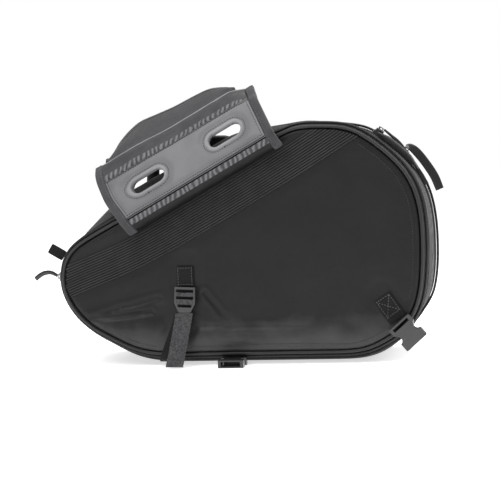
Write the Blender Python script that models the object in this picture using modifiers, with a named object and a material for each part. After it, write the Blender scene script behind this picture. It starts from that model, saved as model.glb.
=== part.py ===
"""A soft motorcycle saddle bag (one side pannier), as its separate sewn and moulded pieces.

Frame, in metres: +X runs along the bag to its tall rear end, +Z is up, and the flat back panel that
lies against the motorcycle faces -Y. The origin is on the flat base, under the back half of the bag.
The bag is a teardrop ring (the gusset) between the back panel and a moulded lid that opens outwards.
"""

import math

import bpy
import bmesh
from mathutils import Matrix, Vector

# ---------------------------------------------------------------- driving dimensions
# The teardrop outline as cubic Bezier anchors: x, z, heading in degrees, handle before, handle after,
# points to the next anchor. It runs from the nose up the front slope, over the hump and down the rear.
EDGE_Z = 0.009  # the back panel's lower edge is rolled up off the ground by this much
OUTLINE_ANCHORS = (
    (-0.2643, 0.1286, 87.2, 0.035, 0.037, 6),
    (-0.2200, 0.1912, 29.0, 0.026, 0.063, 9),
    (0.0428, 0.3209, 23.6, 0.061, 0.030, 4),
    (0.1117, 0.3385, -2.1, 0.034, 0.040, 6),
    (0.2060, 0.3045, -39.9, 0.050, 0.060, 7),
    (0.2630, 0.1544, -91.7, 0.078, 0.060, 6),
    (0.2118, 0.0300, -149.0, 0.050, 0.040, 5),
    (0.1220, EDGE_Z, 180.0, 0.042, 0.001, 4),
    (-0.0770, EDGE_Z, 180.0, 0.001, 0.069, 7),
    (-0.2093, 0.0431, 151.2, 0.062, 0.035, 6),
)
TEETH_FROM, TEETH_TO = -6, 38  # the zip runs from under the nose round the top to under the rear

BACK_Y = -0.090  # face of the back panel
ZIP_Y = 0.051  # plane where the body and the lid meet
WALL = 0.003  # thickness of the padded gusset
FIT = 0.0003  # gap between pieces that touch
WALL_OUT = -0.0024  # the gusset's outer surface, from the outline

SLOPE_CROWN = 0.029  # how far the gusset swells over the front slope
REAR_CROWN = 0.005
BASE_CROWN = EDGE_Z - WALL_OUT  # and how far it comes down to the flat base
EDGE_PIPING_Y = -0.0775
SLOPE_CREST_Y = -0.022
BASE_FRONT_Y = -0.045

BACK_PIPING_R = 0.0022
BACK_PIPING_IN = 0.0075
EDGE_PIPING_R = 0.0020
TEETH_R = 0.0011
RECESS = 0.0044  # how far the zip teeth sit below the outline

WEBBING = 0.025
WEBBING_T = 0.0016

YOKE_ANGLE = math.radians(28.5)
YOKE_WIDTH = 0.252
YOKE_SEAM = Vector((-0.0418, -0.0945, 0.2468))  # middle of the line that the yoke folds on
YOKE_BINDING = 0.0125
YOKE_SKIN = 0.0025
FACE_HEIGHT = 0.0700
SLOT_LENGTH = 0.051
SLOT_WIDTH = 0.021
SLOT_SPACING = 0.1255

SOCKET_L = 0.038
SOCKET_W = 0.036
SOCKET_T = 0.0105

COLLECTION = "saddle_bag"
CUTTERS = "cutters"


# ---------------------------------------------------------------- scene and materials
def clear_scene():
    for obj in list(bpy.data.objects):
        bpy.data.objects.remove(obj, do_unlink=True)


def new_collection(name):
    collection = bpy.data.collections.new(name)
    bpy.context.scene.collection.children.link(collection)
    return collection


def new_material(name, colour, roughness, metallic=0.0):
    material = bpy.data.materials.new(name)
    material.use_nodes = True
    shader = material.node_tree.nodes["Principled BSDF"]
    shader.inputs["Base Color"].default_value = (*colour, 1.0)
    shader.inputs["Roughness"].default_value = roughness
    shader.inputs["Metallic"].default_value = metallic
    return material


def add_object(name, data, material=None, helper=False):
    obj = bpy.data.objects.new(name, data)
    bpy.data.collections[CUTTERS if helper else COLLECTION].objects.link(obj)
    if helper:
        obj.hide_render = True
        obj.display_type = "WIRE"
    if material:
        data.materials.append(material)
    return obj


# ---------------------------------------------------------------- the outline
def bezier_point(p0, p1, p2, p3, t):
    s = 1 - t
    return p0 * s**3 + p1 * 3 * s * s * t + p2 * 3 * s * t * t + p3 * t**3


def heading(degrees):
    return Vector((math.cos(math.radians(degrees)), math.sin(math.radians(degrees))))


def sample_outline():
    """The outline's points, clockwise seen from the back-panel side, in the XZ plane."""
    points = []
    for i, (x, z, turn, _, after, count) in enumerate(OUTLINE_ANCHORS):
        nx, nz, next_turn, before, _, _ = OUTLINE_ANCHORS[(i + 1) % len(OUTLINE_ANCHORS)]
        start, end = Vector((x, z)), Vector((nx, nz))
        a, b = start + heading(turn) * after, end - heading(next_turn) * before
        points += [bezier_point(start, a, b, end, k / count) for k in range(count)]
    return points


def outward_normals(points):
    normals = []
    for i in range(len(points)):
        along = (points[(i + 1) % len(points)] - points[i - 1]).normalized()
        normals.append(Vector((-along.y, along.x)))
    return normals


def ease(t):
    t = min(1.0, max(0.0, t))
    return t * t * (3 - 2 * t)


RING = sample_outline()
NORMALS = outward_normals(RING)
SLOPE = [
    SLOPE_CROWN * ease((p.x + 0.285) / 0.14) * ease((0.105 - p.x) / 0.12) * ease(n.y / 0.7)
    for p, n in zip(RING, NORMALS)
]
REAR = [REAR_CROWN * ease(n.x / 0.7) * ease((p.y - 0.03) / 0.06) for p, n in zip(RING, NORMALS)]
BASE = [BASE_CROWN * ease((-n.y - 0.5) / 0.45) for n in NORMALS]


def ring_point(i, out, y):
    """The outline's point i, moved out along its normal by out plus the gusset's swell at depth y."""
    slope_share = ease((y - EDGE_PIPING_Y) / (SLOPE_CREST_Y - EDGE_PIPING_Y))
    slope_share -= 0.14 * ease((y - SLOPE_CREST_Y) / (ZIP_Y - SLOPE_CREST_Y))
    base_share = ease((y - EDGE_PIPING_Y) / (BASE_FRONT_Y - EDGE_PIPING_Y)) - 0.45 * ease((y - 0.053) / 0.022)
    rear_share = ease((y - EDGE_PIPING_Y) / 0.06)
    place = RING[i] + NORMALS[i] * (out + SLOPE[i] * slope_share + BASE[i] * base_share + REAR[i] * rear_share)
    return Vector((place.x, y, place.y))


def gusset_out(y):
    """How far the gusset's outer surface lies from the outline at depth y, before its swell."""
    knots = ((-0.0854, -0.0070), (-0.0810, -0.0050), (-0.0775, -0.0044), (-0.0700, -0.0030), (-0.0640, WALL_OUT))
    for (y0, o0), (y1, o1) in zip(knots, knots[1:]):
        if y <= y1:
            return o0 + (o1 - o0) * max(0.0, y - y0) / (y1 - y0)
    return knots[-1][1]


# ---------------------------------------------------------------- shape helpers
def mesh_object(name, vertices, faces, material=None, helper=False):
    mesh = bpy.data.meshes.new(name)
    mesh.from_pydata([tuple(v) for v in vertices], [], faces)
    work = bmesh.new()
    work.from_mesh(mesh)
    bmesh.ops.recalc_face_normals(work, faces=work.faces)
    work.to_mesh(mesh)
    work.free()
    mesh.shade_smooth()
    mesh.set_sharp_from_angle(angle=math.radians(40))
    return add_object(name, mesh, material, helper)


def band(name, profile, material):
    """A closed ring round the outline whose section is the profile: (out, y) pairs in order."""
    count, size = len(RING), len(profile)
    vertices = [ring_point(i, out, y) for i in range(count) for out, y in profile]
    faces = []
    for i in range(count):
        j = (i + 1) % count
        for k in range(size):
            m = (k + 1) % size
            faces.append((i * size + k, j * size + k, j * size + m, i * size + m))
    return mesh_object(name, vertices, faces, material)


def wall_profile(depths, thickness):
    """The section of a wall that follows the gusset's outer surface through the given depths."""
    outer = [(gusset_out(y), y) for y in depths]
    return outer + [(out - thickness, y) for out, y in reversed(outer)]


def tube(name, points, radius, material, closed=False, sides=1):
    curve = bpy.data.curves.new(name, "CURVE")
    curve.dimensions = "3D"
    curve.bevel_depth = radius
    curve.bevel_resolution = sides
    curve.use_fill_caps = not closed
    spline = curve.splines.new("POLY")
    spline.points.add(len(points) - 1)
    for target, point in zip(spline.points, points):
        target.co = (*point, 1.0)
    spline.use_cyclic_u = closed
    return add_object(name, curve, material)


def plate(name, loops, half_thickness, placing, material=None, helper=False):
    """A flat outline, with any holes, given thickness either way of its own plane."""
    curve = bpy.data.curves.new(name, "CURVE")
    curve.dimensions = "2D"
    curve.fill_mode = "BOTH"
    curve.extrude = half_thickness
    for loop in loops:
        spline = curve.splines.new("POLY")
        spline.points.add(len(loop) - 1)
        for target, point in zip(spline.points, loop):
            target.co = (point[0], point[1], 0.0, 1.0)
        spline.use_cyclic_u = True
    obj = as_mesh(add_object(name, curve, None, helper))
    if material:
        obj.data.materials.append(material)
    obj.matrix_world = placing
    return obj


def axes_at(origin, right, up):
    """A placing whose local x and y run along right and up."""
    x, y = Vector(right).normalized(), Vector(up).normalized()
    return Matrix.Translation(origin) @ Matrix((x, y, x.cross(y))).transposed().to_4x4()


def as_mesh(obj):
    """A curve object made a mesh with its caps welded, which a Boolean can take."""
    graph = bpy.context.evaluated_depsgraph_get()
    graph.update()
    mesh = bpy.data.meshes.new_from_object(obj.evaluated_get(graph))
    work = bmesh.new()
    work.from_mesh(mesh)
    bmesh.ops.remove_doubles(work, verts=work.verts, dist=1e-6)
    bmesh.ops.recalc_face_normals(work, faces=work.faces)
    work.to_mesh(mesh)
    work.free()
    name, place, helper = obj.name, obj.matrix_world.copy(), obj.hide_render
    old = obj.data
    bpy.data.objects.remove(obj, do_unlink=True)
    bpy.data.curves.remove(old)
    made = add_object(name, mesh, helper=helper)
    made.matrix_world = place
    return made


def cut(obj, cutter, operation="DIFFERENCE"):
    modifier = obj.modifiers.new("Cut", "BOOLEAN")
    modifier.operation = operation
    modifier.object = cutter
    return obj


def rounded_box(centre, size, bevel, name, material, turn=None, segments=2, helper=False):
    work = bmesh.new()
    bmesh.ops.create_cube(work, size=1.0, matrix=Matrix.Diagonal((*size, 1.0)))
    mesh = bpy.data.meshes.new(name)
    work.to_mesh(mesh)
    work.free()
    obj = add_object(name, mesh, material, helper)
    obj.matrix_world = Matrix.Translation(centre) @ (turn.to_4x4() if turn else Matrix.Identity(4))
    if bevel:
        modifier = obj.modifiers.new("Round", "BEVEL")
        modifier.width = bevel
        modifier.segments = segments
    return obj


def thick_path(path, thickness):
    """The outline of a strip of the given thickness that is centred on a path of 2D points."""
    sides = ([], [])
    for i, point in enumerate(path):
        before, after = path[max(i - 1, 0)], path[min(i + 1, len(path) - 1)]
        along = (Vector(after) - Vector(before)).normalized()
        across = Vector((-along.y, along.x)) * thickness / 2
        sides[0].append(Vector(point) + across)
        sides[1].append(Vector(point) - across)
    return sides[0] + sides[1][::-1]


def smooth_path(points, steps):
    """Points on a Catmull-Rom curve through the given ones."""
    points = [Vector(p) for p in points]
    ends = [points[0] * 2 - points[1], *points, points[-1] * 2 - points[-2]]
    path = []
    for a, b, c, d in zip(ends, ends[1:], ends[2:], ends[3:]):
        for k in range(steps):
            t = k / steps
            path.append(
                0.5 * (2 * b + (c - a) * t + (2 * a - 5 * b + 4 * c - d) * t * t + (3 * b - a - 3 * c + d) * t**3)
            )
    return [*path, points[-1]]


def arc(centre, radius, start, end, steps):
    """Points on a circle from one angle to another, in degrees."""
    turns = [math.radians(start + (end - start) * k / steps) for k in range(steps + 1)]
    return [Vector((centre[0] + radius * math.cos(a), centre[1] + radius * math.sin(a))) for a in turns]


def stadium(cx, cy, length, width, steps=8):
    """A slot's outline, length end to end along x."""
    reach = (length - width) / 2
    return arc((cx + reach, cy), width / 2, -90, 90, steps) + arc((cx - reach, cy), width / 2, 90, 270, steps)


def rounded_rectangle(width, height, radius, steps=4):
    w, h = width / 2 - radius, height / 2 - radius
    corners = ((w, h, 0), (-w, h, 90), (-w, -h, 180), (w, -h, 270))
    return [p for x, y, a in corners for p in arc((x, y), radius, a, a + 90, steps)]


FACING_BACK = axes_at((0, 0, 0), (1, 0, 0), (0, 0, 1))  # local z points to -Y


def back_plate(name, inset, y_from, y_to, material=None, helper=False):
    """A teardrop plate whose outline is inset from the ring's, between two depths."""
    loop = [RING[i] - NORMALS[i] * inset for i in range(len(RING))]
    placing = Matrix.Translation((0, (y_from + y_to) / 2, 0)) @ FACING_BACK
    return plate(name, [loop], abs(y_to - y_from) / 2, placing, material, helper)


# ---------------------------------------------------------------- body of the bag
def build_body(mats):
    depths = (-0.0854, -0.0810, -0.0775, -0.0700, -0.0640, -0.0540, BASE_FRONT_Y, -0.0340, SLOPE_CREST_Y, 0.0100, 0.0420)
    band("body_gusset", wall_profile(depths, WALL), mats["cordura"])
    back_plate("back_panel", 0.0104, BACK_Y, -0.084, mats["leatherette"])
    back_plate("back_board", 0.0110, -0.0837, -0.0817, mats["board"])
    back_plate("back_lining", 0.0110, -0.0814, -0.0804, mats["lining"])
    piping = [ring_point(i, -BACK_PIPING_IN, BACK_Y + 0.002) for i in range(len(RING))]
    tube("back_piping", piping, BACK_PIPING_R, mats["piping"], closed=True)
    piping = [ring_point(i, -EDGE_PIPING_R, EDGE_PIPING_Y) for i in range(len(RING))]
    tube("edge_piping", piping, EDGE_PIPING_R, mats["piping"], closed=True)
    coil = [ring_point(i, gusset_out(-0.064) + 0.0015, -0.064) for i in range(len(RING))]
    tube("expansion_zip", coil, 0.0012, mats["zip"], closed=True, sides=0)


def zip_half(side, tape_from, tape_to, teeth_y, mats):
    """One half of the main zip: a tape right round, and teeth everywhere but along the base."""
    out = -RECESS + 0.0006
    band(f"{side}_zip_tape", [(out, tape_from), (out, tape_to), (out - 0.0012, tape_to), (out - 0.0012, tape_from)],
         mats["zip"])
    teeth = [ring_point(i % len(RING), -RECESS, teeth_y) for i in range(TEETH_FROM, TEETH_TO + 1)]
    tube(f"{side}_zip_teeth", teeth, TEETH_R, mats["zip"], sides=0)


# ---------------------------------------------------------------- lid
def build_lid(mats):
    zip_half("lid", 0.0538, 0.0597, 0.0524, mats)
    band("lid_gusset", wall_profile((0.0600, 0.0670, 0.0740), WALL), mats["cordura"])
    piping = [ring_point(i, -0.0001, 0.0765) for i in range(len(RING))]
    tube("lid_piping", piping, 0.0018, mats["piping"], closed=True)
    build_shell(mats)


def shell_point(i, out, scale, y):
    middle = Vector((0.045, y, 0.158))
    return middle + (ring_point(i, out, y) - middle) * scale


def build_shell(mats):
    """The moulded lid face: a rounded rim, a shoulder and a raised teardrop plateau, as one skin."""
    rows = (
        (-0.0024, 1.00, 0.0743), (-0.0030, 1.00, 0.0820), (-0.0080, 1.00, 0.0890), (-0.0140, 0.97, 0.0915),
        (-0.0140, 0.86, 0.0930), (-0.0140, 0.83, 0.0970), (-0.0140, 0.78, 0.0985), (-0.0140, 0.45, 0.0995),
    )
    skin = 0.0035
    count = len(RING)
    outer = [shell_point(i, out, s, y) for out, s, y in rows for i in range(count)]
    inner = [
        shell_point(i, out - (skin if s == 1 else 0), s - (0 if s == 1 else 0.008), max(y - skin, 0.0743))
        for out, s, y in reversed(rows)
        for i in range(count)
    ]
    vertices = outer + inner
    faces = []
    for row in range(2 * len(rows) - 1):
        if row == len(rows) - 1:
            continue
        for i in range(count):
            j = (i + 1) % count
            faces.append((row * count + i, row * count + j, (row + 1) * count + j, (row + 1) * count + i))
    last = (2 * len(rows) - 1) * count
    faces += [(last + i, last + (i + 1) % count, (i + 1) % count, i) for i in range(count)]
    faces.append(tuple((len(rows) - 1) * count + i for i in range(count)))
    faces.append(tuple(len(rows) * count + i for i in reversed(range(count))))
    mesh_object("lid_shell", vertices, faces, mats["shell"])


# ---------------------------------------------------------------- flat pieces on the back panel
BAND_LINE = ((-0.310, 0.0960), (-0.248, 0.1235), (-0.151, 0.1620), (-0.050, 0.2135), (0.070, 0.2800),
             (0.150, 0.3275), (0.200, 0.3580))
BAND_WIDTH = 0.045
ON_BACK_Y = BACK_Y - FIT
REAR_TAB_TURN = math.radians(-56)
REAR_TAB_MIDDLE = Vector((0.2085, 0, 0.0765))
SOCKET_TURN = math.radians(-49)
REAR_SOCKET_AT = Vector((0.2205, BACK_Y - 0.0100, 0.0580))


def turned(angle, origin):
    """A placing in the back panel's plane with local x at the given angle; local z points to -Y."""
    along = Vector((math.cos(angle), 0, math.sin(angle)))
    return axes_at(origin, along, (-along.z, 0, along.x))


def build_back_trim(mats):
    clip = back_plate("band_clip", 0.0110, BACK_Y - 0.01, BACK_Y + 0.01, helper=True)
    loop = thick_path(smooth_path(BAND_LINE, 4), BAND_WIDTH)
    placing = Matrix.Translation((0, ON_BACK_Y - 0.0009, 0)) @ FACING_BACK
    ribbed = plate("ribbed_band", [loop], 0.0009, placing, mats["webbing"])
    cut(ribbed, clip, "INTERSECT")
    front = Matrix.Translation((LADDER_TOP.x, ON_BACK_Y - 0.0016, 0.1275)) @ FACING_BACK
    plate("front_anchor_tab", [rounded_rectangle(WEBBING, 0.0290, 0.001)], 0.0016, front, mats["webbing"])
    rear = REAR_TAB_MIDDLE + Vector((0, ON_BACK_Y - 0.0016, 0))
    plate("rear_anchor_tab", [rounded_rectangle(0.0400, WEBBING + 0.002, 0.001)], 0.0016,
          turned(REAR_TAB_TURN, rear), mats["webbing"])


# ---------------------------------------------------------------- buckles and straps
LADDER_TOP = Vector((-0.0787, -0.0962, 0.1125))
LADDER_L = 0.0395
LADDER_W = 0.029
LADDER_LEAN = math.radians(3)
BASE_SOCKET_X = -0.0135


def socket_outline():
    """Half of a side-release socket seen flat, strap end at x = 0: wide, then waisted for the fingers."""
    w = SOCKET_W / 2
    return [
        Vector((0.0, w - 0.0015)), Vector((0.0015, w)), Vector((0.0105, w)), Vector((0.0135, w - 0.0035)),
        *arc((0.0190, w - 0.0005), 0.0055, 215, 325, 5),
        Vector((0.0250, w)), Vector((SOCKET_L - 0.001, w)), Vector((SOCKET_L, w - 0.001)),
    ]


def build_socket(name, placing, material):
    half = socket_outline()
    loop = half + [Vector((p.x, -p.y)) for p in reversed(half)]
    socket = plate(name, [loop], SOCKET_T / 2, placing, material)
    holes = (
        ("mouth", SOCKET_L, (0.048, 0.0270, 0.0068)),
        ("window", 0.0195, (0.0085, 0.0600, 0.0068)),
        ("strap_slot", 0.0050, (0.0045, 0.0265, 0.0300)),
    )
    for label, x, size in holes:
        hole = rounded_box((0, 0, 0), size, 0, f"{name}_{label}", None, helper=True)
        hole.matrix_world = placing @ Matrix.Translation((x, 0, 0))
        cut(socket, hole)
    return socket


def build_sockets(mats):
    build_socket("rear_socket", turned(SOCKET_TURN, REAR_SOCKET_AT), mats["plastic"])
    base = axes_at((BASE_SOCKET_X, -0.0835, SOCKET_T / 2 + 0.0005), (0, -1, 0), (1, 0, 0))
    build_socket("base_socket", base, mats["plastic"])
    placing = axes_at((BASE_SOCKET_X, 0, 0), (0, 1, 0), (0, 0, 1))
    path = smooth_path(((-0.0560, 0.00095), (-0.0640, 0.0015), (-0.0740, 0.0040), (-0.0828, 0.0052)), 3)
    plate("base_tab", [thick_path(path, WEBBING_T)], WEBBING / 2, placing, mats["webbing"])


def ladder_placing():
    return Matrix.Translation(LADDER_TOP) @ FACING_BACK @ Matrix.Rotation(-LADDER_LEAN, 4, "Z")


def build_ladder_lock(mats):
    w = LADDER_W / 2
    loop = [(w, 0.0), (w + 0.0004, -0.0230), (w - 0.0045, -0.0330), (w - 0.0085, -LADDER_L),
            (-w + 0.0085, -LADDER_L), (-w + 0.0045, -0.0330), (-w - 0.0004, -0.0230), (-w, 0.0)]
    slots = [rounded_rectangle(width, 0.0045, 0.001, 2) for width in (0.0250, 0.0250, 0.0200)]
    placed = [[Vector((p.x, p.y + z)) for p in slot] for slot, z in zip(slots, (-0.0055, -0.0150, -0.0265))]
    plate("ladder_lock", [loop, *placed], 0.0017, ladder_placing(), mats["plastic"])


def leaning_strap(name, path, top_x, lean, material):
    """A strap hanging on a (y, z) path, whose foot leans to the front of the bag."""
    strap = plate(name, [thick_path(path, WEBBING_T)], WEBBING / 2, axes_at((0, 0, 0), (0, 1, 0), (0, 0, 1)),
                  material)
    shear = Matrix.Identity(4)
    shear[0][2] = lean
    top = max(p[1] for p in path)
    place = Matrix.Translation((top_x, 0, top)) @ shear @ Matrix.Translation((0, 0, -top))
    strap.data.transform(place @ strap.matrix_world)
    strap.matrix_world = Matrix.Identity(4)
    return strap


def build_straps(mats):
    y = LADDER_TOP.y
    tail = smooth_path(((y - 0.0030, 0.0760), (y - 0.0050, 0.0620), (y - 0.0095, 0.0400), (y - 0.0155, 0.0180),
                        (y - 0.0220, 0.0018)), 4)
    leaning_strap("strap_tail", tail, -0.0805, 0.185, mats["webbing"])
    held = smooth_path(((-0.0935, 0.0715), (-0.0932, 0.0460), (-0.0926, 0.0240), (-0.0898, 0.0118),
                        (-0.0830, 0.0066), (-0.0740, 0.0052), (-0.0680, 0.0044)), 4)
    leaning_strap("held_strap", held, -0.0835, 0.40, mats["webbing"])


# ---------------------------------------------------------------- yoke
ALONG = Vector((math.cos(YOKE_ANGLE), 0, math.sin(YOKE_ANGLE)))
RISE = Vector((-math.sin(YOKE_ANGLE), 0, math.cos(YOKE_ANGLE)))
FACE_FOOT = Vector((0.0210, -0.0235))  # the yoke's section: (rise, y) from the seam
FACE_HEAD = Vector((0.0834, 0.0095))
FACE_TILT = math.atan2(FACE_HEAD.y - FACE_FOOT.y, FACE_HEAD.x - FACE_FOOT.x)
FOLD = Vector((0.1090, 0.0365))
TAIL_END = Vector((0.1390, 0.1100))


def yoke_place(u, rise, y):
    return YOKE_SEAM + ALONG * u + RISE * rise + Vector((0, y, 0))


def yoke_strip(name, path, thickness, half_width, material, middle=0.0):
    """A strip with its width along the yoke and its section on a (rise, y) path."""
    placing = axes_at(yoke_place(middle, 0, 0), RISE, (0, 1, 0))
    return plate(name, [thick_path(path, thickness)], half_width, placing, material)


def face_placing(lift):
    """The tilted plane of the yoke's face: local x along the yoke, local y up the face, lifted off it."""
    up = RISE * math.cos(FACE_TILT) + Vector((0, math.sin(FACE_TILT), 0))
    middle = (FACE_FOOT + FACE_HEAD) / 2
    placing = axes_at(yoke_place(0, middle.x, middle.y), ALONG, up)
    return placing @ Matrix.Translation((0, 0, lift))


def tail_placing():
    slope = (TAIL_END - FOLD).normalized()
    back = RISE * slope.x + Vector((0, slope.y, 0))
    return axes_at(yoke_place(0, FOLD.x, FOLD.y), ALONG, back)


def tail_outline(inset):
    """The tail's outline from the fold: straight sides, a big rounded corner each end."""
    length = (TAIL_END - FOLD).length - inset
    half = YOKE_WIDTH / 2 - YOKE_BINDING - 0.004 - inset
    radius = 0.052
    return [
        Vector((half, 0.002)),
        *arc((half - radius, length - radius), radius, 0, 90, 6),
        *arc((-half + radius, length - radius), radius, 90, 180, 6),
        Vector((-half, 0.002)),
    ]


def build_yoke(mats):
    inner = YOKE_WIDTH / 2 - YOKE_BINDING
    slots = [stadium(side * SLOT_SPACING / 2, 0, SLOT_LENGTH, SLOT_WIDTH) for side in (-1, 1)]
    panel = rounded_rectangle(2 * inner - 2 * FIT, FACE_HEIGHT - 0.001, 0.001, 2)
    plate("yoke_face", [panel, *slots], 0.0011, face_placing(0.0026), mats["grey_leather"])
    plate("yoke_board", [panel, *slots], 0.0008, face_placing(0.0004), mats["board"])
    plate("yoke_face_lining", [panel, *slots], 0.0006, face_placing(-0.0013), mats["lining"])
    for label, side in (("front", -1), ("rear", 1)):
        cx = side * SLOT_SPACING / 2
        rim = [stadium(cx, 0, SLOT_LENGTH + 0.010, SLOT_WIDTH + 0.010), stadium(cx, 0, SLOT_LENGTH, SLOT_WIDTH)]
        plate(f"slot_rim_{label}", rim, 0.0006, face_placing(0.0046), mats["grey_leather"])
    lower = smooth_path((Vector((0.0010, 0.0)), Vector((0.0065, -0.0125)), FACE_FOOT - Vector((0.0032, 0.0014))), 4)
    yoke_strip("yoke_lower_strip", lower, YOKE_SKIN, inner - FIT, mats["leatherette"])
    roll = smooth_path((FACE_HEAD + Vector((0.0024, 0.0014)), Vector((0.0985, 0.0205)),
                        FOLD - Vector((0.0015, 0.0034))), 4)
    yoke_strip("yoke_top_roll", roll, YOKE_SKIN, inner - FIT, mats["leatherette"])
    edge = lower[:-1] + [FACE_FOOT, FACE_HEAD] + roll[1:]
    for label, side in (("front", -1), ("rear", 1)):
        middle = side * (YOKE_WIDTH - YOKE_BINDING) / 2
        yoke_strip(f"yoke_binding_{label}", edge, 0.0056, YOKE_BINDING / 2 - FIT / 2, mats["binding"], middle)
    plate("yoke_tail", [tail_outline(0.0055)], 0.0011, tail_placing(), mats["leatherette"])
    rim = tail_outline(0.0)
    hole = tail_outline(0.0055 - FIT)
    hole[0], hole[-1] = Vector((hole[0].x, 0.001)), Vector((hole[-1].x, 0.001))
    plate("yoke_tail_binding", [rim + list(reversed(hole))], 0.0018, tail_placing(), mats["binding"])


# ---------------------------------------------------------------- carry handle
HANDLE_Y = 0.014
HANDLE_LINE = ((-0.1430, 0.235), (-0.1430, 0.262), (-0.1395, 0.288), (-0.1220, 0.305), (-0.0940, 0.3115),
               (-0.0600, 0.3130), (-0.0330, 0.3130), (-0.0200, 0.3100))


def gusset_block(name, grow):
    """A solid of the bag's outer surface between the two seams, a little grown, to trim what sits on it."""
    depths = (-0.0700, -0.0540, -0.0340, SLOPE_CREST_Y, 0.0100, 0.0400)
    count = len(RING)
    vertices = [ring_point(i, gusset_out(y) + grow, y) for y in depths for i in range(count)]
    faces = []
    for row in range(len(depths) - 1):
        for i in range(count):
            j = (i + 1) % count
            faces.append((row * count + i, row * count + j, (row + 1) * count + j, (row + 1) * count + i))
    faces.append(tuple(range(count)))
    faces.append(tuple((len(depths) - 1) * count + i for i in reversed(range(count))))
    return mesh_object(name, vertices, faces, helper=True)


def build_handle(mats):
    """A padded grip that stands on the front slope, trimmed to the gusset that it is sewn to."""
    loop = thick_path(smooth_path(HANDLE_LINE, 4), 0.0185)
    placing = Matrix.Translation((0, HANDLE_Y, 0)) @ FACING_BACK
    handle = plate("carry_handle", [loop], 0.0070, placing, mats["binding"])
    cut(handle, gusset_block("handle_trim", FIT))


# ---------------------------------------------------------------- zip sliders and pulls
def nearest(x, z):
    return min(range(len(RING)), key=lambda i: (RING[i] - Vector((x, z))).length)


def zip_frame(x, z, out, y):
    """A placing on the ring at depth y: local x along the zip (to the rear), local z outwards."""
    i = nearest(x, z)
    here = ring_point(i, out, y)
    along = ring_point((i + 1) % len(RING), out, y) - ring_point(i - 1, out, y)
    along = Vector((along.x, 0, along.z)).normalized()
    return axes_at(here, along, (0, 1, 0))


def build_slider(name, placing, mats):
    """The slider's plate with the little bridge that its pull hangs on."""
    body = rounded_box((0, 0, 0), (0.0125, 0.0090, 0.0026), 0.0008, name, mats["metal"])
    body.matrix_world = placing @ Matrix.Translation((0, 0, 0.0013))
    bridge = rounded_box((0, 0, 0), (0.0075, 0.0028, 0.0044), 0.0006, f"{name}_bridge", None, helper=True)
    bridge.matrix_world = placing @ Matrix.Translation((-0.0005, 0, 0.0040))
    cut(body, bridge, "UNION")
    eye = rounded_box((0, 0, 0), (0.0034, 0.0100, 0.0022), 0, f"{name}_eye", None, helper=True)
    eye.matrix_world = placing @ Matrix.Translation((0, 0, 0.0040))
    cut(body, eye)


def smooth_space(points, steps):
    """Points on a Catmull-Rom curve through points in space, from two plane curves."""
    flat = smooth_path([(p[0], p[2]) for p in points], steps)
    side = smooth_path([(p[0], p[1]) for p in points], steps)
    return [Vector((f.x, s.y, f.y)) for f, s in zip(flat, side)]


def build_pull(name, placing, path, widths, thickness, material):
    """A pull from the slider's eye along a path of (along, across, out) points, with a width at each."""
    middle = smooth_space(path, 4)
    count = len(middle) - 1
    vertices = []
    for k, point in enumerate(middle):
        ahead = middle[min(k + 1, count)] - middle[max(k - 1, 0)]
        face = Vector((-ahead.z, 0, ahead.x)).normalized() * thickness / 2
        share = k / count * (len(widths) - 1)
        low = min(int(share), len(widths) - 2)
        half = (widths[low] + (widths[low + 1] - widths[low]) * (share - low)) / 2
        for side, lift in ((-1, -1), (1, -1), (1, 1), (-1, 1)):
            vertices.append(placing @ (point + Vector((0, side * half, 0)) + face * lift))
    faces = [(0, 3, 2, 1), tuple(count * 4 + k for k in range(4))]
    for k in range(count):
        for m in range(4):
            n = (m + 1) % 4
            faces.append((k * 4 + m, k * 4 + n, k * 4 + 4 + n, k * 4 + 4 + m))
    return mesh_object(name, vertices, faces, material)


def build_zip_pulls(mats):
    top = -RECESS + TEETH_R + FIT
    high = zip_frame(0.1935, 0.314, top, ZIP_Y)
    low = zip_frame(0.2155, 0.294, top, ZIP_Y)
    build_slider("slider_high", high, mats)
    build_slider("slider_low", low, mats)
    thin = ((0.0040, 0, 0.0044), (0.0090, -0.0040, 0.0062), (0.0200, -0.0110, 0.0066), (0.0386, -0.0130, 0.0076),
            (0.0600, -0.0130, 0.0044), (0.0780, -0.0130, -0.0020), (0.0980, -0.0130, -0.0120))
    wide = ((0.0056, 0, 0.0052), (0.0095, 0, 0.0090), (0.0160, 0, 0.0135), (0.0300, 0, 0.0170),
            (0.0520, 0, 0.0160), (0.0740, 0, 0.0110), (0.0880, 0, 0.0030))
    build_pull("pull_high", high, thin, (0.0018, 0.0030, 0.0035, 0.0035, 0.0040, 0.0060, 0.0075), 0.0022, mats["plastic"])
    build_pull("pull_low", low, wide, (0.0018, 0.0040, 0.0120, 0.0140, 0.0145, 0.0145, 0.0140), 0.0030, mats["plastic"])


def build_nose(mats):
    """The end of the expansion zip at the nose: a folded webbing tab, a slider and its loop pull."""
    tab = axes_at((-0.2705, -0.0560, 0.1630), Vector((-0.80, 0, 0.60)), (0, 1, 0))
    nose_tab = rounded_box((0, 0, 0), (0.0240, 0.0180, 0.0048), 0.0012, "nose_tab", mats["webbing"])
    nose_tab.matrix_world = tab
    i = nearest(-0.2643, 0.1350)
    placing = axes_at(ring_point(i, 0.0017, -0.064), (0, 0, -1), (0, -1, 0))
    build_slider("slider_nose", placing, mats)
    path = ((0.0056, 0, 0.0048), (0.0062, 0, 0.0100), (0.0080, 0, 0.0200), (0.0110, 0, 0.0300), (0.0150, 0, 0.0410))
    build_pull("pull_nose", placing, path, (0.0018, 0.0030, 0.0040, 0.0042, 0.0040), 0.0020, mats["plastic"])


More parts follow.
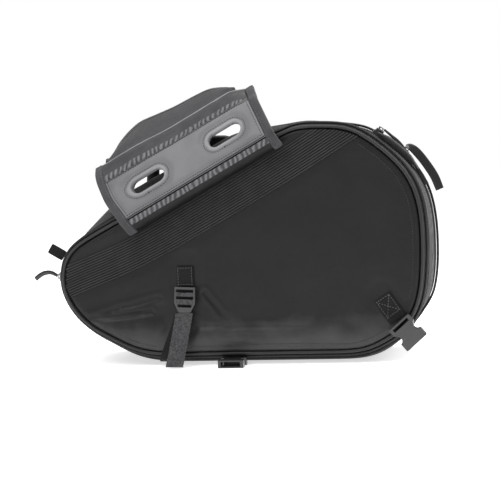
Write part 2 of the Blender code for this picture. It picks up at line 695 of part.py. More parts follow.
# ---------------------------------------------------------------- inside
def build_inside(mats):
    back_plate("lid_lining", 0.0130, 0.0775, 0.0785, mats["lining"])
    pocket = [RING[i] - NORMALS[i] * 0.022 for i in range(len(RING))]
    pocket = [p for p in pocket if p.y < 0.16]
    placing = Matrix.Translation((0, 0.0766, 0)) @ FACING_BACK
    plate("mesh_pocket", [pocket], 0.0005, placing, mats["mesh"])
    for label, x, turn in (("front", -0.020, 60), ("rear", 0.120, 100)):
        angle = math.radians(turn)
        middle = Vector((x, -0.0780 if label == "front" else -0.0762, 0.1500))
        plate(f"inner_strap_{label}", [rounded_rectangle(0.200, WEBBING, 0.001)], 0.0007,
              turned(angle, middle), mats["webbing"])


# ---------------------------------------------------------------- build
def main():
    clear_scene()
    new_collection(COLLECTION)
    new_collection(CUTTERS)
    mats = {
        "leatherette": new_material("leatherette", (0.022, 0.022, 0.023), 0.50),
        "grey_leather": new_material("grey_leather", (0.16, 0.16, 0.165), 0.42),
        "cordura": new_material("cordura", (0.030, 0.030, 0.032), 0.85),
        "shell": new_material("shell", (0.028, 0.028, 0.030), 0.45),
        "piping": new_material("piping", (0.020, 0.020, 0.021), 0.35),
        "binding": new_material("binding", (0.035, 0.035, 0.037), 0.60),
        "webbing": new_material("webbing", (0.030, 0.030, 0.031), 0.80),
        "zip": new_material("zip", (0.015, 0.015, 0.015), 0.60),
        "lining": new_material("lining", (0.040, 0.040, 0.043), 0.85),
        "mesh": new_material("mesh", (0.020, 0.020, 0.020), 0.90),
        "board": new_material("board", (0.080, 0.080, 0.080), 0.55),
        "plastic": new_material("plastic", (0.045, 0.045, 0.047), 0.38),
        "metal": new_material("metal", (0.120, 0.120, 0.125), 0.32, 1.0),
    }
    build_body(mats)
    zip_half("body", 0.0423, 0.0482, 0.0496, mats)
    build_lid(mats)
    build_back_trim(mats)
    build_sockets(mats)
    build_ladder_lock(mats)
    build_straps(mats)
    build_yoke(mats)
    build_handle(mats)
    build_zip_pulls(mats)
    build_nose(mats)
    build_inside(mats)


main()
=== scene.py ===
import math

import bmesh
import bpy
from mathutils import Matrix, Vector, noise


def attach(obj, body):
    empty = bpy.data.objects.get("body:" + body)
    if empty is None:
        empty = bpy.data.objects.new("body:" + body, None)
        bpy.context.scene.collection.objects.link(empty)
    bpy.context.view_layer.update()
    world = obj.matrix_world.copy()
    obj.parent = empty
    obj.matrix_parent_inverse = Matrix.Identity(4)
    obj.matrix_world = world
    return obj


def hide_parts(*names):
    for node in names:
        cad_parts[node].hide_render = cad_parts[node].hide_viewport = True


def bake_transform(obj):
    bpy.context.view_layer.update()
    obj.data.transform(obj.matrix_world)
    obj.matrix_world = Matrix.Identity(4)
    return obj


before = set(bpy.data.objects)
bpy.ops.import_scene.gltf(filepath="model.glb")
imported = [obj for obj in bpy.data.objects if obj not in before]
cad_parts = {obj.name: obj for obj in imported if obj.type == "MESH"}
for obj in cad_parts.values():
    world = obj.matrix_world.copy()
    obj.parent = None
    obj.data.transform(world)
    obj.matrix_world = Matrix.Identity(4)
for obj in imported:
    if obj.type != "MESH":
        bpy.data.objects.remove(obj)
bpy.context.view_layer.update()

# Metres, in the CAD's own frame: +X to the tall rear end, +Z up, the back panel faces -Y.
EDGE_Z = 0.009
OUTLINE_ANCHORS = (  # x, z, heading, handle before, handle after, points to the next anchor
    (-0.2643, 0.1286, 87.2, 0.035, 0.037, 6), (-0.2200, 0.1912, 29.0, 0.026, 0.063, 9),
    (0.0428, 0.3209, 23.6, 0.061, 0.030, 4), (0.1117, 0.3385, -2.1, 0.034, 0.040, 6),
    (0.2060, 0.3045, -39.9, 0.050, 0.060, 7), (0.2630, 0.1544, -91.7, 0.078, 0.060, 6),
    (0.2118, 0.0300, -149.0, 0.050, 0.040, 5), (0.1220, EDGE_Z, 180.0, 0.042, 0.001, 4),
    (-0.0770, EDGE_Z, 180.0, 0.001, 0.069, 7), (-0.2093, 0.0431, 151.2, 0.062, 0.035, 6),
)
FINE = 4  # points of the visual outline for each point of the CAD outline
BACK_Y = -0.090
ZIP_Y = 0.051
FIT = 0.0003  # the gap that touching pieces keep
WALL_OUT = -0.0024
WALL_THICKNESS = 0.003
EDGE_PIPING_Y = -0.0775
SLOPE_CREST_Y = -0.022
EXPANSION_Y = -0.064
WEBBING = 0.025
WEBBING_THICKNESS = 0.0016
LOCK_Y = -0.0962  # the ladder lock's front
OUTWARDS = Vector((0, -1, 0))  # away from the back panel

YOKE_ANGLE = math.radians(28.5)
YOKE_SEAM = Vector((-0.0418, -0.0945, 0.2468))
ALONG = Vector((math.cos(YOKE_ANGLE), 0, math.sin(YOKE_ANGLE)))
RISE = Vector((-math.sin(YOKE_ANGLE), 0, math.cos(YOKE_ANGLE)))
YOKE_HALF = 0.126
BINDING = 0.0125
FACE_FOOT = Vector((0.0210, -0.0235))  # (rise, y) from the seam
FACE_HEAD = Vector((0.0834, 0.0095))
FOLD = Vector((0.1090, 0.0365))
FACE_TILT = math.atan2(FACE_HEAD.y - FACE_FOOT.y, FACE_HEAD.x - FACE_FOOT.x)
SLOT_LENGTH, SLOT_WIDTH, SLOT_SPACING = 0.051, 0.021, 0.1255


def ease(t):
    t = min(1.0, max(0.0, t))
    return t * t * (3 - 2 * t)


# ---------------------------------------------------------------- materials
class Nodes:
    """A Principled material and short calls to add the nodes that give it its surface."""

    def __init__(self, name, colour, roughness, metallic=0.0, sheen=0.0, coat=0.0):
        self.material = bpy.data.materials.new(name)
        self.material.use_nodes = True
        self.tree = self.material.node_tree
        self.shader = self.tree.nodes["Principled BSDF"]
        self.shader.inputs["Roughness"].default_value = roughness
        self.shader.inputs["Metallic"].default_value = metallic
        self.shader.inputs["Sheen Weight"].default_value = sheen
        self.shader.inputs["Coat Weight"].default_value = coat
        self.shader.inputs["Specular IOR Level"].default_value = 0.5 if metallic or coat else 0.28
        self.colour = colour
        self.roughness = roughness
        self.place = self.add("ShaderNodeTexCoord").outputs["Object"]
        self.normal = None

    def add(self, kind, **settings):
        node = self.tree.nodes.new(kind)
        for key, value in settings.items():
            setattr(node, key, value)
        return node

    def link(self, a, b):
        self.tree.links.new(a, b)

    def noise(self, scale, detail=4.0):
        node = self.add("ShaderNodeTexNoise")
        node.inputs["Scale"].default_value = scale
        node.inputs["Detail"].default_value = detail
        self.link(self.place, node.inputs["Vector"])
        return node.outputs["Fac"]

    def cells(self, scale):
        node = self.add("ShaderNodeTexVoronoi", feature="DISTANCE_TO_EDGE")
        node.inputs["Scale"].default_value = scale
        self.link(self.place, node.inputs["Vector"])
        return node.outputs["Distance"]

    def wave(self, scale, direction, distortion=0.0):
        node = self.add("ShaderNodeTexWave", bands_direction=direction)
        node.inputs["Scale"].default_value = scale
        node.inputs["Distortion"].default_value = distortion
        self.link(self.place, node.inputs["Vector"])
        return node.outputs["Fac"]

    def ramp(self, source, low, high, colours):
        node = self.add("ShaderNodeValToRGB")
        node.color_ramp.elements[0].position = low
        node.color_ramp.elements[1].position = high
        node.color_ramp.elements[0].color = (*colours[0], 1)
        node.color_ramp.elements[1].color = (*colours[1], 1)
        self.link(source, node.inputs["Fac"])
        return node.outputs["Color"]

    def maths(self, operation, a, b):
        node = self.add("ShaderNodeMath", operation=operation)
        for socket, value in zip(node.inputs, (a, b)):
            if isinstance(value, float):
                socket.default_value = value
            else:
                self.link(value, socket)
        return node.outputs[0]

    def plus(self, colour, more):
        mix = self.add("ShaderNodeMix", data_type="RGBA", blend_type="ADD")
        mix.inputs[0].default_value = 1.0
        self.link(colour, mix.inputs[6])
        self.link(more, mix.inputs[7])
        return mix.outputs[2]

    def tint(self, spread=0.25, scale=22.0, worn=0.0, low=0.0):
        """Cloudy variation of the base colour, lighter wear on edges, and a painted reflection of the white floor
        that lightens the colour low on the bag.
        """
        dark = tuple(c * (1 - spread) for c in self.colour)
        light = tuple(min(1.0, c * (1 + spread)) for c in self.colour)
        colour = self.ramp(self.noise(scale), 0.35, 0.68, (dark, light))
        if worn:
            edge = self.ramp(self.add("ShaderNodeNewGeometry").outputs["Pointiness"], 0.50, 0.62,
                             ((0, 0, 0), (worn, worn, worn)))
            colour = self.plus(colour, edge)
        # low: a painted reflection of the bright floor, lightening the colour towards the bottom of the bag, its
        # edge broken up by noise
        if low:
            split = self.add("ShaderNodeSeparateXYZ")
            self.link(self.place, split.inputs[0])
            drift = self.maths("MULTIPLY", self.noise(26.0, 5.0), 0.055)
            height = self.maths("ADD", split.outputs["Z"], drift)
            colour = self.plus(colour, self.ramp(height, 0.056, 0.098, ((low,) * 3, (0, 0, 0))))
        self.link(colour, self.shader.inputs["Base Color"])
        rough = self.ramp(self.noise(scale * 6), 0.3, 0.7,
                          ((self.roughness * 0.86,) * 3, (min(1.0, self.roughness * 1.14),) * 3))
        self.link(rough, self.shader.inputs["Roughness"])

    def bump(self, height, distance, strength=1.0):
        node = self.add("ShaderNodeBump")
        node.inputs["Distance"].default_value = distance
        node.inputs["Strength"].default_value = strength
        self.link(height, node.inputs["Height"])
        if self.normal:
            self.link(self.normal, node.inputs["Normal"])
        self.normal = node.outputs["Normal"]
        self.link(self.normal, self.shader.inputs["Normal"])


def leather(name, colour, roughness, grain=620.0, depth=0.00022, worn=0.02, low=0.0):
    n = Nodes(name, colour, roughness)
    n.tint(0.14, 18.0, worn, low)
    n.bump(n.maths("MINIMUM", n.cells(grain), 0.22), depth)
    n.bump(n.noise(130.0), 0.0006, 0.35)
    return n.material


def woven(name, colour, roughness, scale, depth, directions="XZ", sheen=0.15, spread=0.22, fleck=60.0):
    n = Nodes(name, colour, roughness, sheen=sheen)
    n.tint(spread, fleck)
    threads = n.maths("MULTIPLY", n.wave(scale, directions[0], 0.3), n.wave(scale, directions[1], 0.3))
    n.bump(threads, depth)
    n.bump(n.noise(900.0, 2.0), 0.0002, 0.5)
    return n.material


def moulded(name, colour, roughness, coat=0.0, worn=0.03, metallic=0.0):
    n = Nodes(name, colour, roughness, metallic=metallic, coat=coat)
    n.tint(0.10, 40.0, worn)
    n.bump(n.noise(1500.0, 3.0), 0.00008, 0.6)
    return n.material


def gathered_painted_shade(name, dark, light, roughness):
    """Leatherette gathered into folds, with painted shade down in them and a painted highlight on the ridges."""
    n = Nodes(name, light, roughness)
    n.link(n.ramp(n.wave(46.0, "X", 5.0), 0.15, 0.95, (dark, light)), n.shader.inputs["Base Color"])
    n.bump(n.noise(700.0), 0.0003, 0.5)
    return n.material


MATS = {
    # low=0.042 paints the white floor's reflection onto the lower part of the black panel
    "leatherette": leather("leatherette_black", (0.0060, 0.0060, 0.0064), 0.47, worn=0.006, low=0.042),
    "grey_leather": leather("leatherette_grey", (0.150, 0.150, 0.157), 0.45, grain=700.0, worn=0.03),
    "roll_leather": leather("leatherette_roll", (0.042, 0.042, 0.045), 0.44, grain=700.0),
    "cordura": woven("woven_grey", (0.020, 0.020, 0.021), 0.85, 260.0, 0.0005, spread=0.60, fleck=380.0),
    "shell": leather("shell_black", (0.012, 0.012, 0.013), 0.42, grain=480.0),
    "piping": leather("piping_black", (0.010, 0.010, 0.011), 0.36, grain=900.0, depth=0.0001),
    "light_piping": leather("piping_grey", (0.020, 0.020, 0.021), 0.42, grain=900.0, depth=0.0001),
    "binding": woven("binding_tape", (0.042, 0.042, 0.045), 0.62, 420.0, 0.00012),
    "handle": leather("handle_black", (0.008, 0.008, 0.009), 0.42, grain=800.0),
    "webbing": woven("webbing_black", (0.0050, 0.0050, 0.0053), 0.72, 300.0, 0.00035, sheen=0.03),
    "grey_webbing": woven("webbing_grey", (0.058, 0.058, 0.061), 0.72, 300.0, 0.0005, spread=0.55, fleck=420.0),
    "zip": woven("zip_black", (0.018, 0.018, 0.019), 0.60, 520.0, 0.00012),
    "lining": woven("lining_grey", (0.050, 0.050, 0.054), 0.80, 480.0, 0.00010),
    # a lighter copy of the black webbing: painted highlight for the rib crests
    "rib_crest_highlight": woven("webbing_rib_highlight", (0.030, 0.030, 0.032), 0.55, 420.0, 0.0003),
    "mesh": woven("mesh_black", (0.022, 0.022, 0.022), 0.85, 120.0, 0.0006),
    "board": moulded("board_grey", (0.080, 0.080, 0.080), 0.55),
    "plastic": moulded("plastic_black", (0.008, 0.008, 0.009), 0.24, coat=0.2, worn=0.02),
    "metal": moulded("metal_dark", (0.16, 0.16, 0.165), 0.28, metallic=1.0, worn=0.10),
    "thread": woven("thread_grey", (0.085, 0.085, 0.090), 0.60, 900.0, 0.0001),
    "dark_thread": woven("thread_dark", (0.022, 0.022, 0.023), 0.60, 900.0, 0.0001),
    # lighter than the grey face: painted highlight on the rolled slot rims and along the fold's edge
    "light_leather": leather("leatherette_rim_highlight", (0.230, 0.230, 0.240), 0.42, grain=800.0, worn=0.03),
    "ruched_painted_shade": gathered_painted_shade("leatherette_ruched_painted_shade", (0.040, 0.040, 0.042), (0.150, 0.150, 0.157), 0.42),
}


# ---------------------------------------------------------------- the outline
def heading(degrees):
    return Vector((math.cos(math.radians(degrees)), math.sin(math.radians(degrees))))


def sample_outline():
    points = []
    for i, (x, z, turn, _, after, count) in enumerate(OUTLINE_ANCHORS):
        nx, nz, next_turn, before, _, _ = OUTLINE_ANCHORS[(i + 1) % len(OUTLINE_ANCHORS)]
        p0, p3 = Vector((x, z)), Vector((nx, nz))
        p1, p2 = p0 + heading(turn) * after, p3 - heading(next_turn) * before
        for k in range(count * FINE):
            t = k / (count * FINE)
            s = 1 - t
            points.append(p0 * s**3 + p1 * 3 * s * s * t + p2 * 3 * s * t * t + p3 * t**3)
    return points


RING = sample_outline()
COUNT = len(RING)
NORMALS = []
for number in range(COUNT):
    step = (RING[(number + 2) % COUNT] - RING[number - 2]).normalized()
    NORMALS.append(Vector((-step.y, step.x)))
SLOPE = [0.029 * ease((p.x + 0.285) / 0.14) * ease((0.105 - p.x) / 0.12) * ease(n.y / 0.7)
         for p, n in zip(RING, NORMALS)]
REAR = [0.005 * ease(n.x / 0.7) * ease((p.y - 0.03) / 0.06) for p, n in zip(RING, NORMALS)]
TAPER = [0.0088 * math.exp(-((p - Vector((0.198, 0.292))).length / 0.105) ** 2) for p in RING]
BASE = [(EDGE_Z - WALL_OUT) * ease((-n.y - 0.5) / 0.45) for n in NORMALS]


def ring_point(i, out, y):
    i %= COUNT
    slope = ease((y - EDGE_PIPING_Y) / 0.0555) - 0.14 * ease((y - SLOPE_CREST_Y) / 0.073)
    base = ease((y - EDGE_PIPING_Y) / 0.0325) - 0.45 * ease((y - 0.053) / 0.022)
    rear = ease((y - EDGE_PIPING_Y) / 0.06)
    swell = SLOPE[i] * slope + BASE[i] * base + REAR[i] * rear - TAPER[i] * ease((y - EDGE_PIPING_Y) / 0.065)
    place = RING[i] + NORMALS[i] * (out + swell)
    return Vector((place.x, y, place.y))


def gusset_out(y):
    knots = ((-0.0854, -0.0070), (-0.0810, -0.0050), (-0.0775, -0.0044), (-0.0700, -0.0030), (-0.0640, WALL_OUT))
    for (y0, o0), (y1, o1) in zip(knots, knots[1:]):
        if y <= y1:
            return o0 + (o1 - o0) * max(0.0, y - y0) / (y1 - y0)
    return knots[-1][1]


# ---------------------------------------------------------------- mesh helpers
def linked(name, data):
    obj = bpy.data.objects.new(name, data)
    bpy.context.scene.collection.objects.link(obj)
    return obj


def piece(name, vertices, faces, finish, body, slot, *nodes, sharp=60):
    mesh = bpy.data.meshes.new(name)
    mesh.from_pydata([tuple(v) for v in vertices], [], faces)
    work = bmesh.new()
    work.from_mesh(mesh)
    bmesh.ops.recalc_face_normals(work, faces=work.faces)
    work.to_mesh(mesh)
    work.free()
    mesh.shade_smooth()
    mesh.set_sharp_from_angle(angle=math.radians(sharp))
    mesh.materials.append(MATS[finish])
    obj = linked(name, mesh)
    if body:
        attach(obj, body)
    if nodes:
        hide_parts(*nodes)
    return obj


def skin(rows, closed_along=False, closed_round=True, caps=True):
    """Faces over rows of points, each row with the same number of points."""
    count, size = len(rows), len(rows[0])
    vertices = [v for row in rows for v in row]
    faces = []
    for i in range(count if closed_along else count - 1):
        j = (i + 1) % count
        for k in range(size if closed_round else size - 1):
            m = (k + 1) % size
            faces.append((i * size + k, j * size + k, j * size + m, i * size + m))
    if caps and closed_round and not closed_along:
        faces += [tuple(range(size)), tuple((count - 1) * size + k for k in reversed(range(size)))]
    return vertices, faces


def rim_of(size, rows):
    """The numbers of the points round a grid, in order."""
    last = (rows - 1) * size
    border = list(range(size)) + [k * size + size - 1 for k in range(1, rows)]
    border += [last + k for k in reversed(range(size - 1))] + [k * size for k in reversed(range(1, rows - 1))]
    return list(zip(border, border[1:] + border[:1]))


def closed_sheet(top, under, across, up, hole=None):
    """Two grids of points, above and below, closed round the border; hole says which cells stay open."""
    size, faces = across + 1, []
    for j in range(up):
        for i in range(across):
            if hole and hole(i + 0.5, j + 0.5):
                continue
            k = j * size + i
            faces.append((k, k + 1, k + size + 1, k + size))
            faces.append(tuple(len(top) + v for v in (k, k + size, k + size + 1, k + 1)))
    faces += [(k, k + len(top), m + len(top), m) for k, m in rim_of(size, up + 1)]
    return top + under, faces


def course(points, k):
    """The direction of an open path at its point k."""
    return (points[min(k + 1, len(points) - 1)] - points[max(k - 1, 0)]).normalized()


def smooth_path(points, steps):
    points = [Vector(p) for p in points]
    ends = [points[0] * 2 - points[1], *points, points[-1] * 2 - points[-2]]
    path = []
    for a, b, c, d in zip(ends, ends[1:], ends[2:], ends[3:]):
        for k in range(steps):
            t = k / steps
            path.append(0.5 * (2 * b + (c - a) * t + (2 * a - 5 * b + 4 * c - d) * t * t
                               + (3 * b - a - 3 * c + d) * t**3))
    return [*path, points[-1]]


def oval(half_width, half_height, steps=14, power=2.0):
    """A superellipse section as (across, up) pairs."""
    section = []
    for k in range(steps):
        a = 2 * math.pi * k / steps
        c, s = math.cos(a), math.sin(a)
        section.append((math.copysign(abs(c) ** (2 / power), c) * half_width,
                        math.copysign(abs(s) ** (2 / power), s) * half_height))
    return section


def sweep(points, section, up, closed=False, scale=None):
    """Rows of a section carried along points; up is the section's second axis, or one for each point."""
    rows, count = [], len(points)
    for k, point in enumerate(points):
        before = points[k - 1] if closed or k else points[0]
        after = points[(k + 1) % count] if closed or k < count - 1 else points[-1]
        along = (after - before).normalized()
        lift = up[k] if isinstance(up, list) else up
        across = along.cross(lift).normalized()
        lift = across.cross(along)
        size = scale(k / (count - 1)) if scale else (1.0, 1.0)
        rows.append([point + across * a * size[0] + lift * b * size[1] for a, b in section])
    return rows


def tube(name, points, section, up, finish, body, slot, *nodes, closed=False, scale=None):
    return piece(name, *skin(sweep(points, section, up, closed, scale), closed_along=closed), finish, body, slot,
                 *nodes)


def resample(points, spacing):
    """Points at an even spacing on a polyline, each with its direction."""
    made, left = [], 0.0
    for a, b in zip(points, points[1:]):
        reach = (b - a).length
        if reach < 1e-9:
            continue
        while left <= reach:
            made.append((a + (b - a) * (left / reach), (b - a) / reach))
            left += spacing
        left -= reach
    return made


def stitches(name, lines, finish, body, slot, up, length=0.0026, gap=0.0013, radius=0.00042):
    """Rows of thread along lines, each a short rounded dash that dips into the cloth at its ends."""
    vertices, faces = [], []
    for line in lines:
        for place, along in resample(line, length + gap):
            side = along.cross(up).normalized()
            lift = side.cross(along)
            start = len(vertices)
            for t, size, drop in ((-0.5, 0.35, -0.6), (-0.28, 0.95, 0.0), (0.28, 0.95, 0.0), (0.5, 0.35, -0.6)):
                for k in range(6):
                    a = math.pi * k / 3
                    vertices.append(place + along * (t * length) + side * math.cos(a) * radius * size * 1.25
                                    + lift * (math.sin(a) * radius * size + drop * radius))
            for row in range(3):
                for k in range(6):
                    m = (k + 1) % 6
                    faces.append((start + row * 6 + k, start + row * 6 + m,
                                  start + row * 6 + 6 + m, start + row * 6 + 6 + k))
            faces.append(tuple(start + k for k in range(6)))
            faces.append(tuple(start + 18 + k for k in reversed(range(6))))
    return piece(name, vertices, faces, finish, body, slot, sharp=80)


def pillow(placing, width, height, thickness, across=22, up=22, power=7.0):
    """A flat sewn pad with rolled edges and rounded corners, standing on its placing's plane."""
    def level(a, b):
        edge = max(abs(a), abs(b))
        return thickness * (1 - edge**power * 0.55)

    top, bottom = [], []
    for j in range(up + 1):
        for i in range(across + 1):
            a, b = 2 * i / across - 1, 2 * j / up - 1
            pinch = 1 - 0.05 * (abs(a) * abs(b)) ** 6
            x, y = a * pinch * width / 2, b * pinch * height / 2
            top.append(placing @ Vector((x, y, level(a, b))))
            bottom.append(placing @ Vector((x, y, 0)))
    return closed_sheet(top, bottom, across, up)


def axes_at(origin, right, up):
    x, y = Vector(right).normalized(), Vector(up).normalized()
    return Matrix.Translation(origin) @ Matrix((x, y, x.cross(y))).transposed().to_4x4()


# ---------------------------------------------------------------- body of the bag
def ring_band(name, profile, finish, body, slot, *nodes, ripple=0.0):
    """A band round the whole bag with an (out, y) profile; ripple makes its cloth uneven between its edges."""
    rows = []
    for i in range(COUNT):
        row = []
        for out, y in profile:
            place = ring_point(i, out, y)
            if ripple:
                lean = noise.noise(Vector((place.x * 26, place.y * 34, place.z * 26))) * ripple
                fade = ease((y + 0.080) / 0.02) * ease((0.040 - y) / 0.02) * (1 - ease((0.03 - place.z) / 0.02))
                place = place + Vector((NORMALS[i].x, 0, NORMALS[i].y)) * (lean * fade - ripple * 0.5 * fade)
            row.append(place)
        rows.append(row)
    return piece(name, *skin(rows, closed_along=True), finish, body, slot, *nodes)


def wall(depths):
    outer = [(gusset_out(y), y) for y in depths]
    return outer + [(out - WALL_THICKNESS, y) for out, y in reversed(outer)]


def between(a, b, steps):
    return [a + (b - a) * k / steps for k in range(steps + 1)]


PUFFS = (  # middle x, z, half length, half width, height of the soft swellings low on the panel
    (-0.168, 0.0540, 0.062, 0.019, 0.0078), (-0.045, 0.0400, 0.046, 0.017, 0.0056),
    (0.040, 0.0370, 0.050, 0.016, 0.0052), (0.125, 0.0400, 0.045, 0.016, 0.0046),
    (0.120, 0.1500, 0.110, 0.070, 0.0012), (-0.100, 0.1150, 0.080, 0.040, 0.0010),
)
CREASES = (  # from x, z to x, z, depth
    ((-0.2191, 0.0720), (-0.1180, 0.0979), 0.0016), ((-0.0529, 0.1044), (0.0065, 0.0289), 0.0018),
    ((-0.2180, 0.0690), (-0.1290, 0.0770), 0.0026), ((-0.0620, 0.0560), (0.0900, 0.0540), 0.0008),
)


def off_segment(p, a, b):
    a, b = Vector(a), Vector(b)
    t = min(1.0, max(0.0, (p - a).dot(b - a) / (b - a).length_squared))
    return (p - (a + (b - a) * t)).length


def panel_lift(x, z):
    lift = 0.0004 + 0.0005 * noise.noise(Vector((x * 24, z * 24, 3.1)))
    p = Vector((x, z))
    for cx, cz, rx, rz, height in PUFFS:
        lift += height * ease(1.0 - math.hypot((x - cx) / rx, (z - cz) / rz) * 0.72)
    for a, b, depth in CREASES:
        d = off_segment(p, a, b)
        lift += depth * (0.55 * ease(1 - abs(d - 0.006) / 0.006) - ease(1 - d / 0.0045))
    return lift


PANEL_INSET = 0.0104
PANEL_ROLL = 0.014  # the puffed surface rolls down to the edge over this width
SEAM_INSET = 0.0100  # the panel's seam runs this far inside its edge
PANEL_MIDDLE = Vector((0.045, 0.158))


BAND_LINE = ((-0.310, 0.0960), (-0.248, 0.1235), (-0.151, 0.1620), (-0.050, 0.2135), (0.070, 0.2800),
             (0.150, 0.3275), (0.200, 0.3580))
BAND_HALF = 0.0225
PRESSED = (  # from x, z to x, z under a tab or a strap, its reach to each side, how far the press fades
    ((-0.0787, 0.145), (-0.082, 0.060), 0.015, 0.012), ((-0.085, 0.060), (-0.112, 0.010), 0.015, 0.010),
    ((0.198, 0.092), (0.235, 0.042), 0.019, 0.010),
)


def covered(x, z):
    """How much the band, tabs and straps press the panel flat at a place: 1 under them."""
    p = Vector((x, z))
    press = 1 - ease((min(off_segment(p, a, b) for a, b in zip(BAND_LINE, BAND_LINE[1:])) - BAND_HALF) / 0.014)
    for a, b, reach, fade in PRESSED:
        press = max(press, 1 - ease((off_segment(p, a, b) - reach) / fade))
    return press


def build_panel():
    """The soft leatherette panel: its edge rolls back to the piping, and a seam runs inside the edge."""
    edge = [RING[i] - NORMALS[i] * PANEL_INSET for i in range(COUNT)]
    steps = 74
    rows = []
    for k in range(steps):
        s = 1 - k / steps
        row = []
        for p in edge:
            q = PANEL_MIDDLE + (p - PANEL_MIDDLE) * s
            inset = (1 - s) * (p - PANEL_MIDDLE).length
            lift = panel_lift(q.x, q.y)
            press = covered(q.x, q.y)
            lift = lift * (1 - press) - 0.0003 * press
            lift = lift * ease(inset / PANEL_ROLL) - 0.0032 * (1 - ease(inset / 0.0035))
            lift -= 0.0009 * ease(1 - abs(inset - 0.0062) / 0.0022) * (1 - press)
            row.append(Vector((q.x, BACK_Y - lift, q.y)))
        rows.append(row)
    vertices, faces = skin(rows, caps=False)
    start = len(vertices)
    vertices += [Vector((p.x, BACK_Y + 0.0058, p.y)) for p in edge]
    last = (steps - 1) * COUNT
    faces.append(tuple(last + k for k in range(COUNT)))
    faces += [(start + k, start + (k + 1) % COUNT, (k + 1) % COUNT, k) for k in range(COUNT)]
    panel = piece("soft_back_panel", vertices, faces, "leatherette", "bag", "leatherette", "back_panel")
    seam = []
    for i in range(COUNT + 1):
        p = edge[i % COUNT]
        q = p + (PANEL_MIDDLE - p).normalized() * SEAM_INSET
        lift = panel_lift(q.x, q.y) * ease(SEAM_INSET / PANEL_ROLL)
        seam.append(Vector((q.x, BACK_Y - lift - 0.0002, q.y)))
    runs, run = [], []
    for p in seam:
        if covered(p.x, p.z) > 0.5:
            if len(run) > 3:
                runs.append(run)
            run = []
        else:
            run.append(p)
    runs.append(run)
    stitches("panel_stitches", runs, "dark_thread", "bag", "leatherette", OUTWARDS)


def build_piping():
    for node, out, y, radius, finish, body in (
        ("back_piping", -0.0075, BACK_Y + 0.0020, 0.0022, "light_piping", "bag"),
        ("edge_piping", -0.0020, EDGE_PIPING_Y, 0.0020, "piping", "bag"),
        ("lid_piping", -0.0001, 0.0765, 0.0018, "piping", "lid"),
    ):
        points = [ring_point(i, out, y) for i in range(COUNT)]
        tube(f"{node}_cord", points, oval(radius, radius, 12), -OUTWARDS, finish, body, "piping", node, closed=True)


COIL_PITCH = 0.0019


def zip_coil(name, body, node, out, y, width, radius, first, last):
    """The zip's moulded coil: a little rounded tooth every couple of millimetres."""
    points = [ring_point(i, out, y) for i in range(first, last + 1)]
    vertices, faces = [], []
    for place, along in resample(points, COIL_PITCH):
        outwards = Vector((-along.z, 0, along.x))
        start = len(vertices)
        for dy in (-0.5, 0.5):
            for a, b in ((-0.34, -1), (0.34, -1), (0.42, 0.4), (0.2, 1), (-0.2, 1), (-0.42, 0.4)):
                vertices.append(place + along * (a * COIL_PITCH) + outwards * (b * radius)
                                + Vector((0, dy * width, 0)))
        faces += [tuple(start + k for k in range(6)), tuple(start + 6 + k for k in reversed(range(6)))]
        faces += [(start + k, start + 6 + k, start + 6 + (k + 1) % 6, start + (k + 1) % 6) for k in range(6)]
    return piece(name, vertices, faces, "zip", body, "zip", node, sharp=50)


def build_body():
    depths = (-0.0854, -0.0810, *between(-0.0775, 0.0420, 26))
    gusset = ring_band("soft_gusset", wall(depths), "cordura", "bag", "cordura", "body_gusset", ripple=0.0012)
    ring_band("lid_side", wall(between(0.0600, 0.0740, 5)), "cordura", "lid", "cordura", "lid_gusset")
    first, last = -6 * FINE, 38 * FINE  # the main zip stops short of the hinge along the base
    zip_coil("body_zip_coil", "bag", "body_zip_teeth", -0.0044, 0.0496, 0.0022, 0.0010, first, last)
    zip_coil("lid_zip_coil", "lid", "lid_zip_teeth", -0.0044, 0.0524, 0.0022, 0.0010, first, last)
    zip_coil("expansion_coil", "bag", "expansion_zip", gusset_out(EXPANSION_Y) + 0.0014, EXPANSION_Y,
             0.0026, 0.0011, 0, COUNT)
    for side, body, near, far in (("body", "bag", 0.0423, 0.0482), ("lid", "lid", 0.0538, 0.0597)):
        tape = [(-0.0038, near), (-0.0038, far), (-0.0050, far), (-0.0050, near)]
        ring_band(f"{side}_tape", tape, "zip", body, "zip", f"{side}_zip_tape")
    for y, tag in ((-0.0690, "near"), (-0.0585, "far"), (0.0360, "front")):
        line = [ring_point(i, gusset_out(y) + 0.0002, y) for i in range(COUNT)]
        for point in line:  # clear of the floor
            point.z = max(point.z, 0.0007)
        tube(f"gusset_seam_{tag}", line, oval(0.0006, 0.0004, 8), -OUTWARDS, "dark_thread", "bag", "cordura",
             closed=True)


def shell_point(i, out, scale, y):
    middle = Vector((0.045, y, 0.158))
    return middle + (ring_point(i, out, y) - middle) * scale


SHELL_THICKNESS = 0.0035


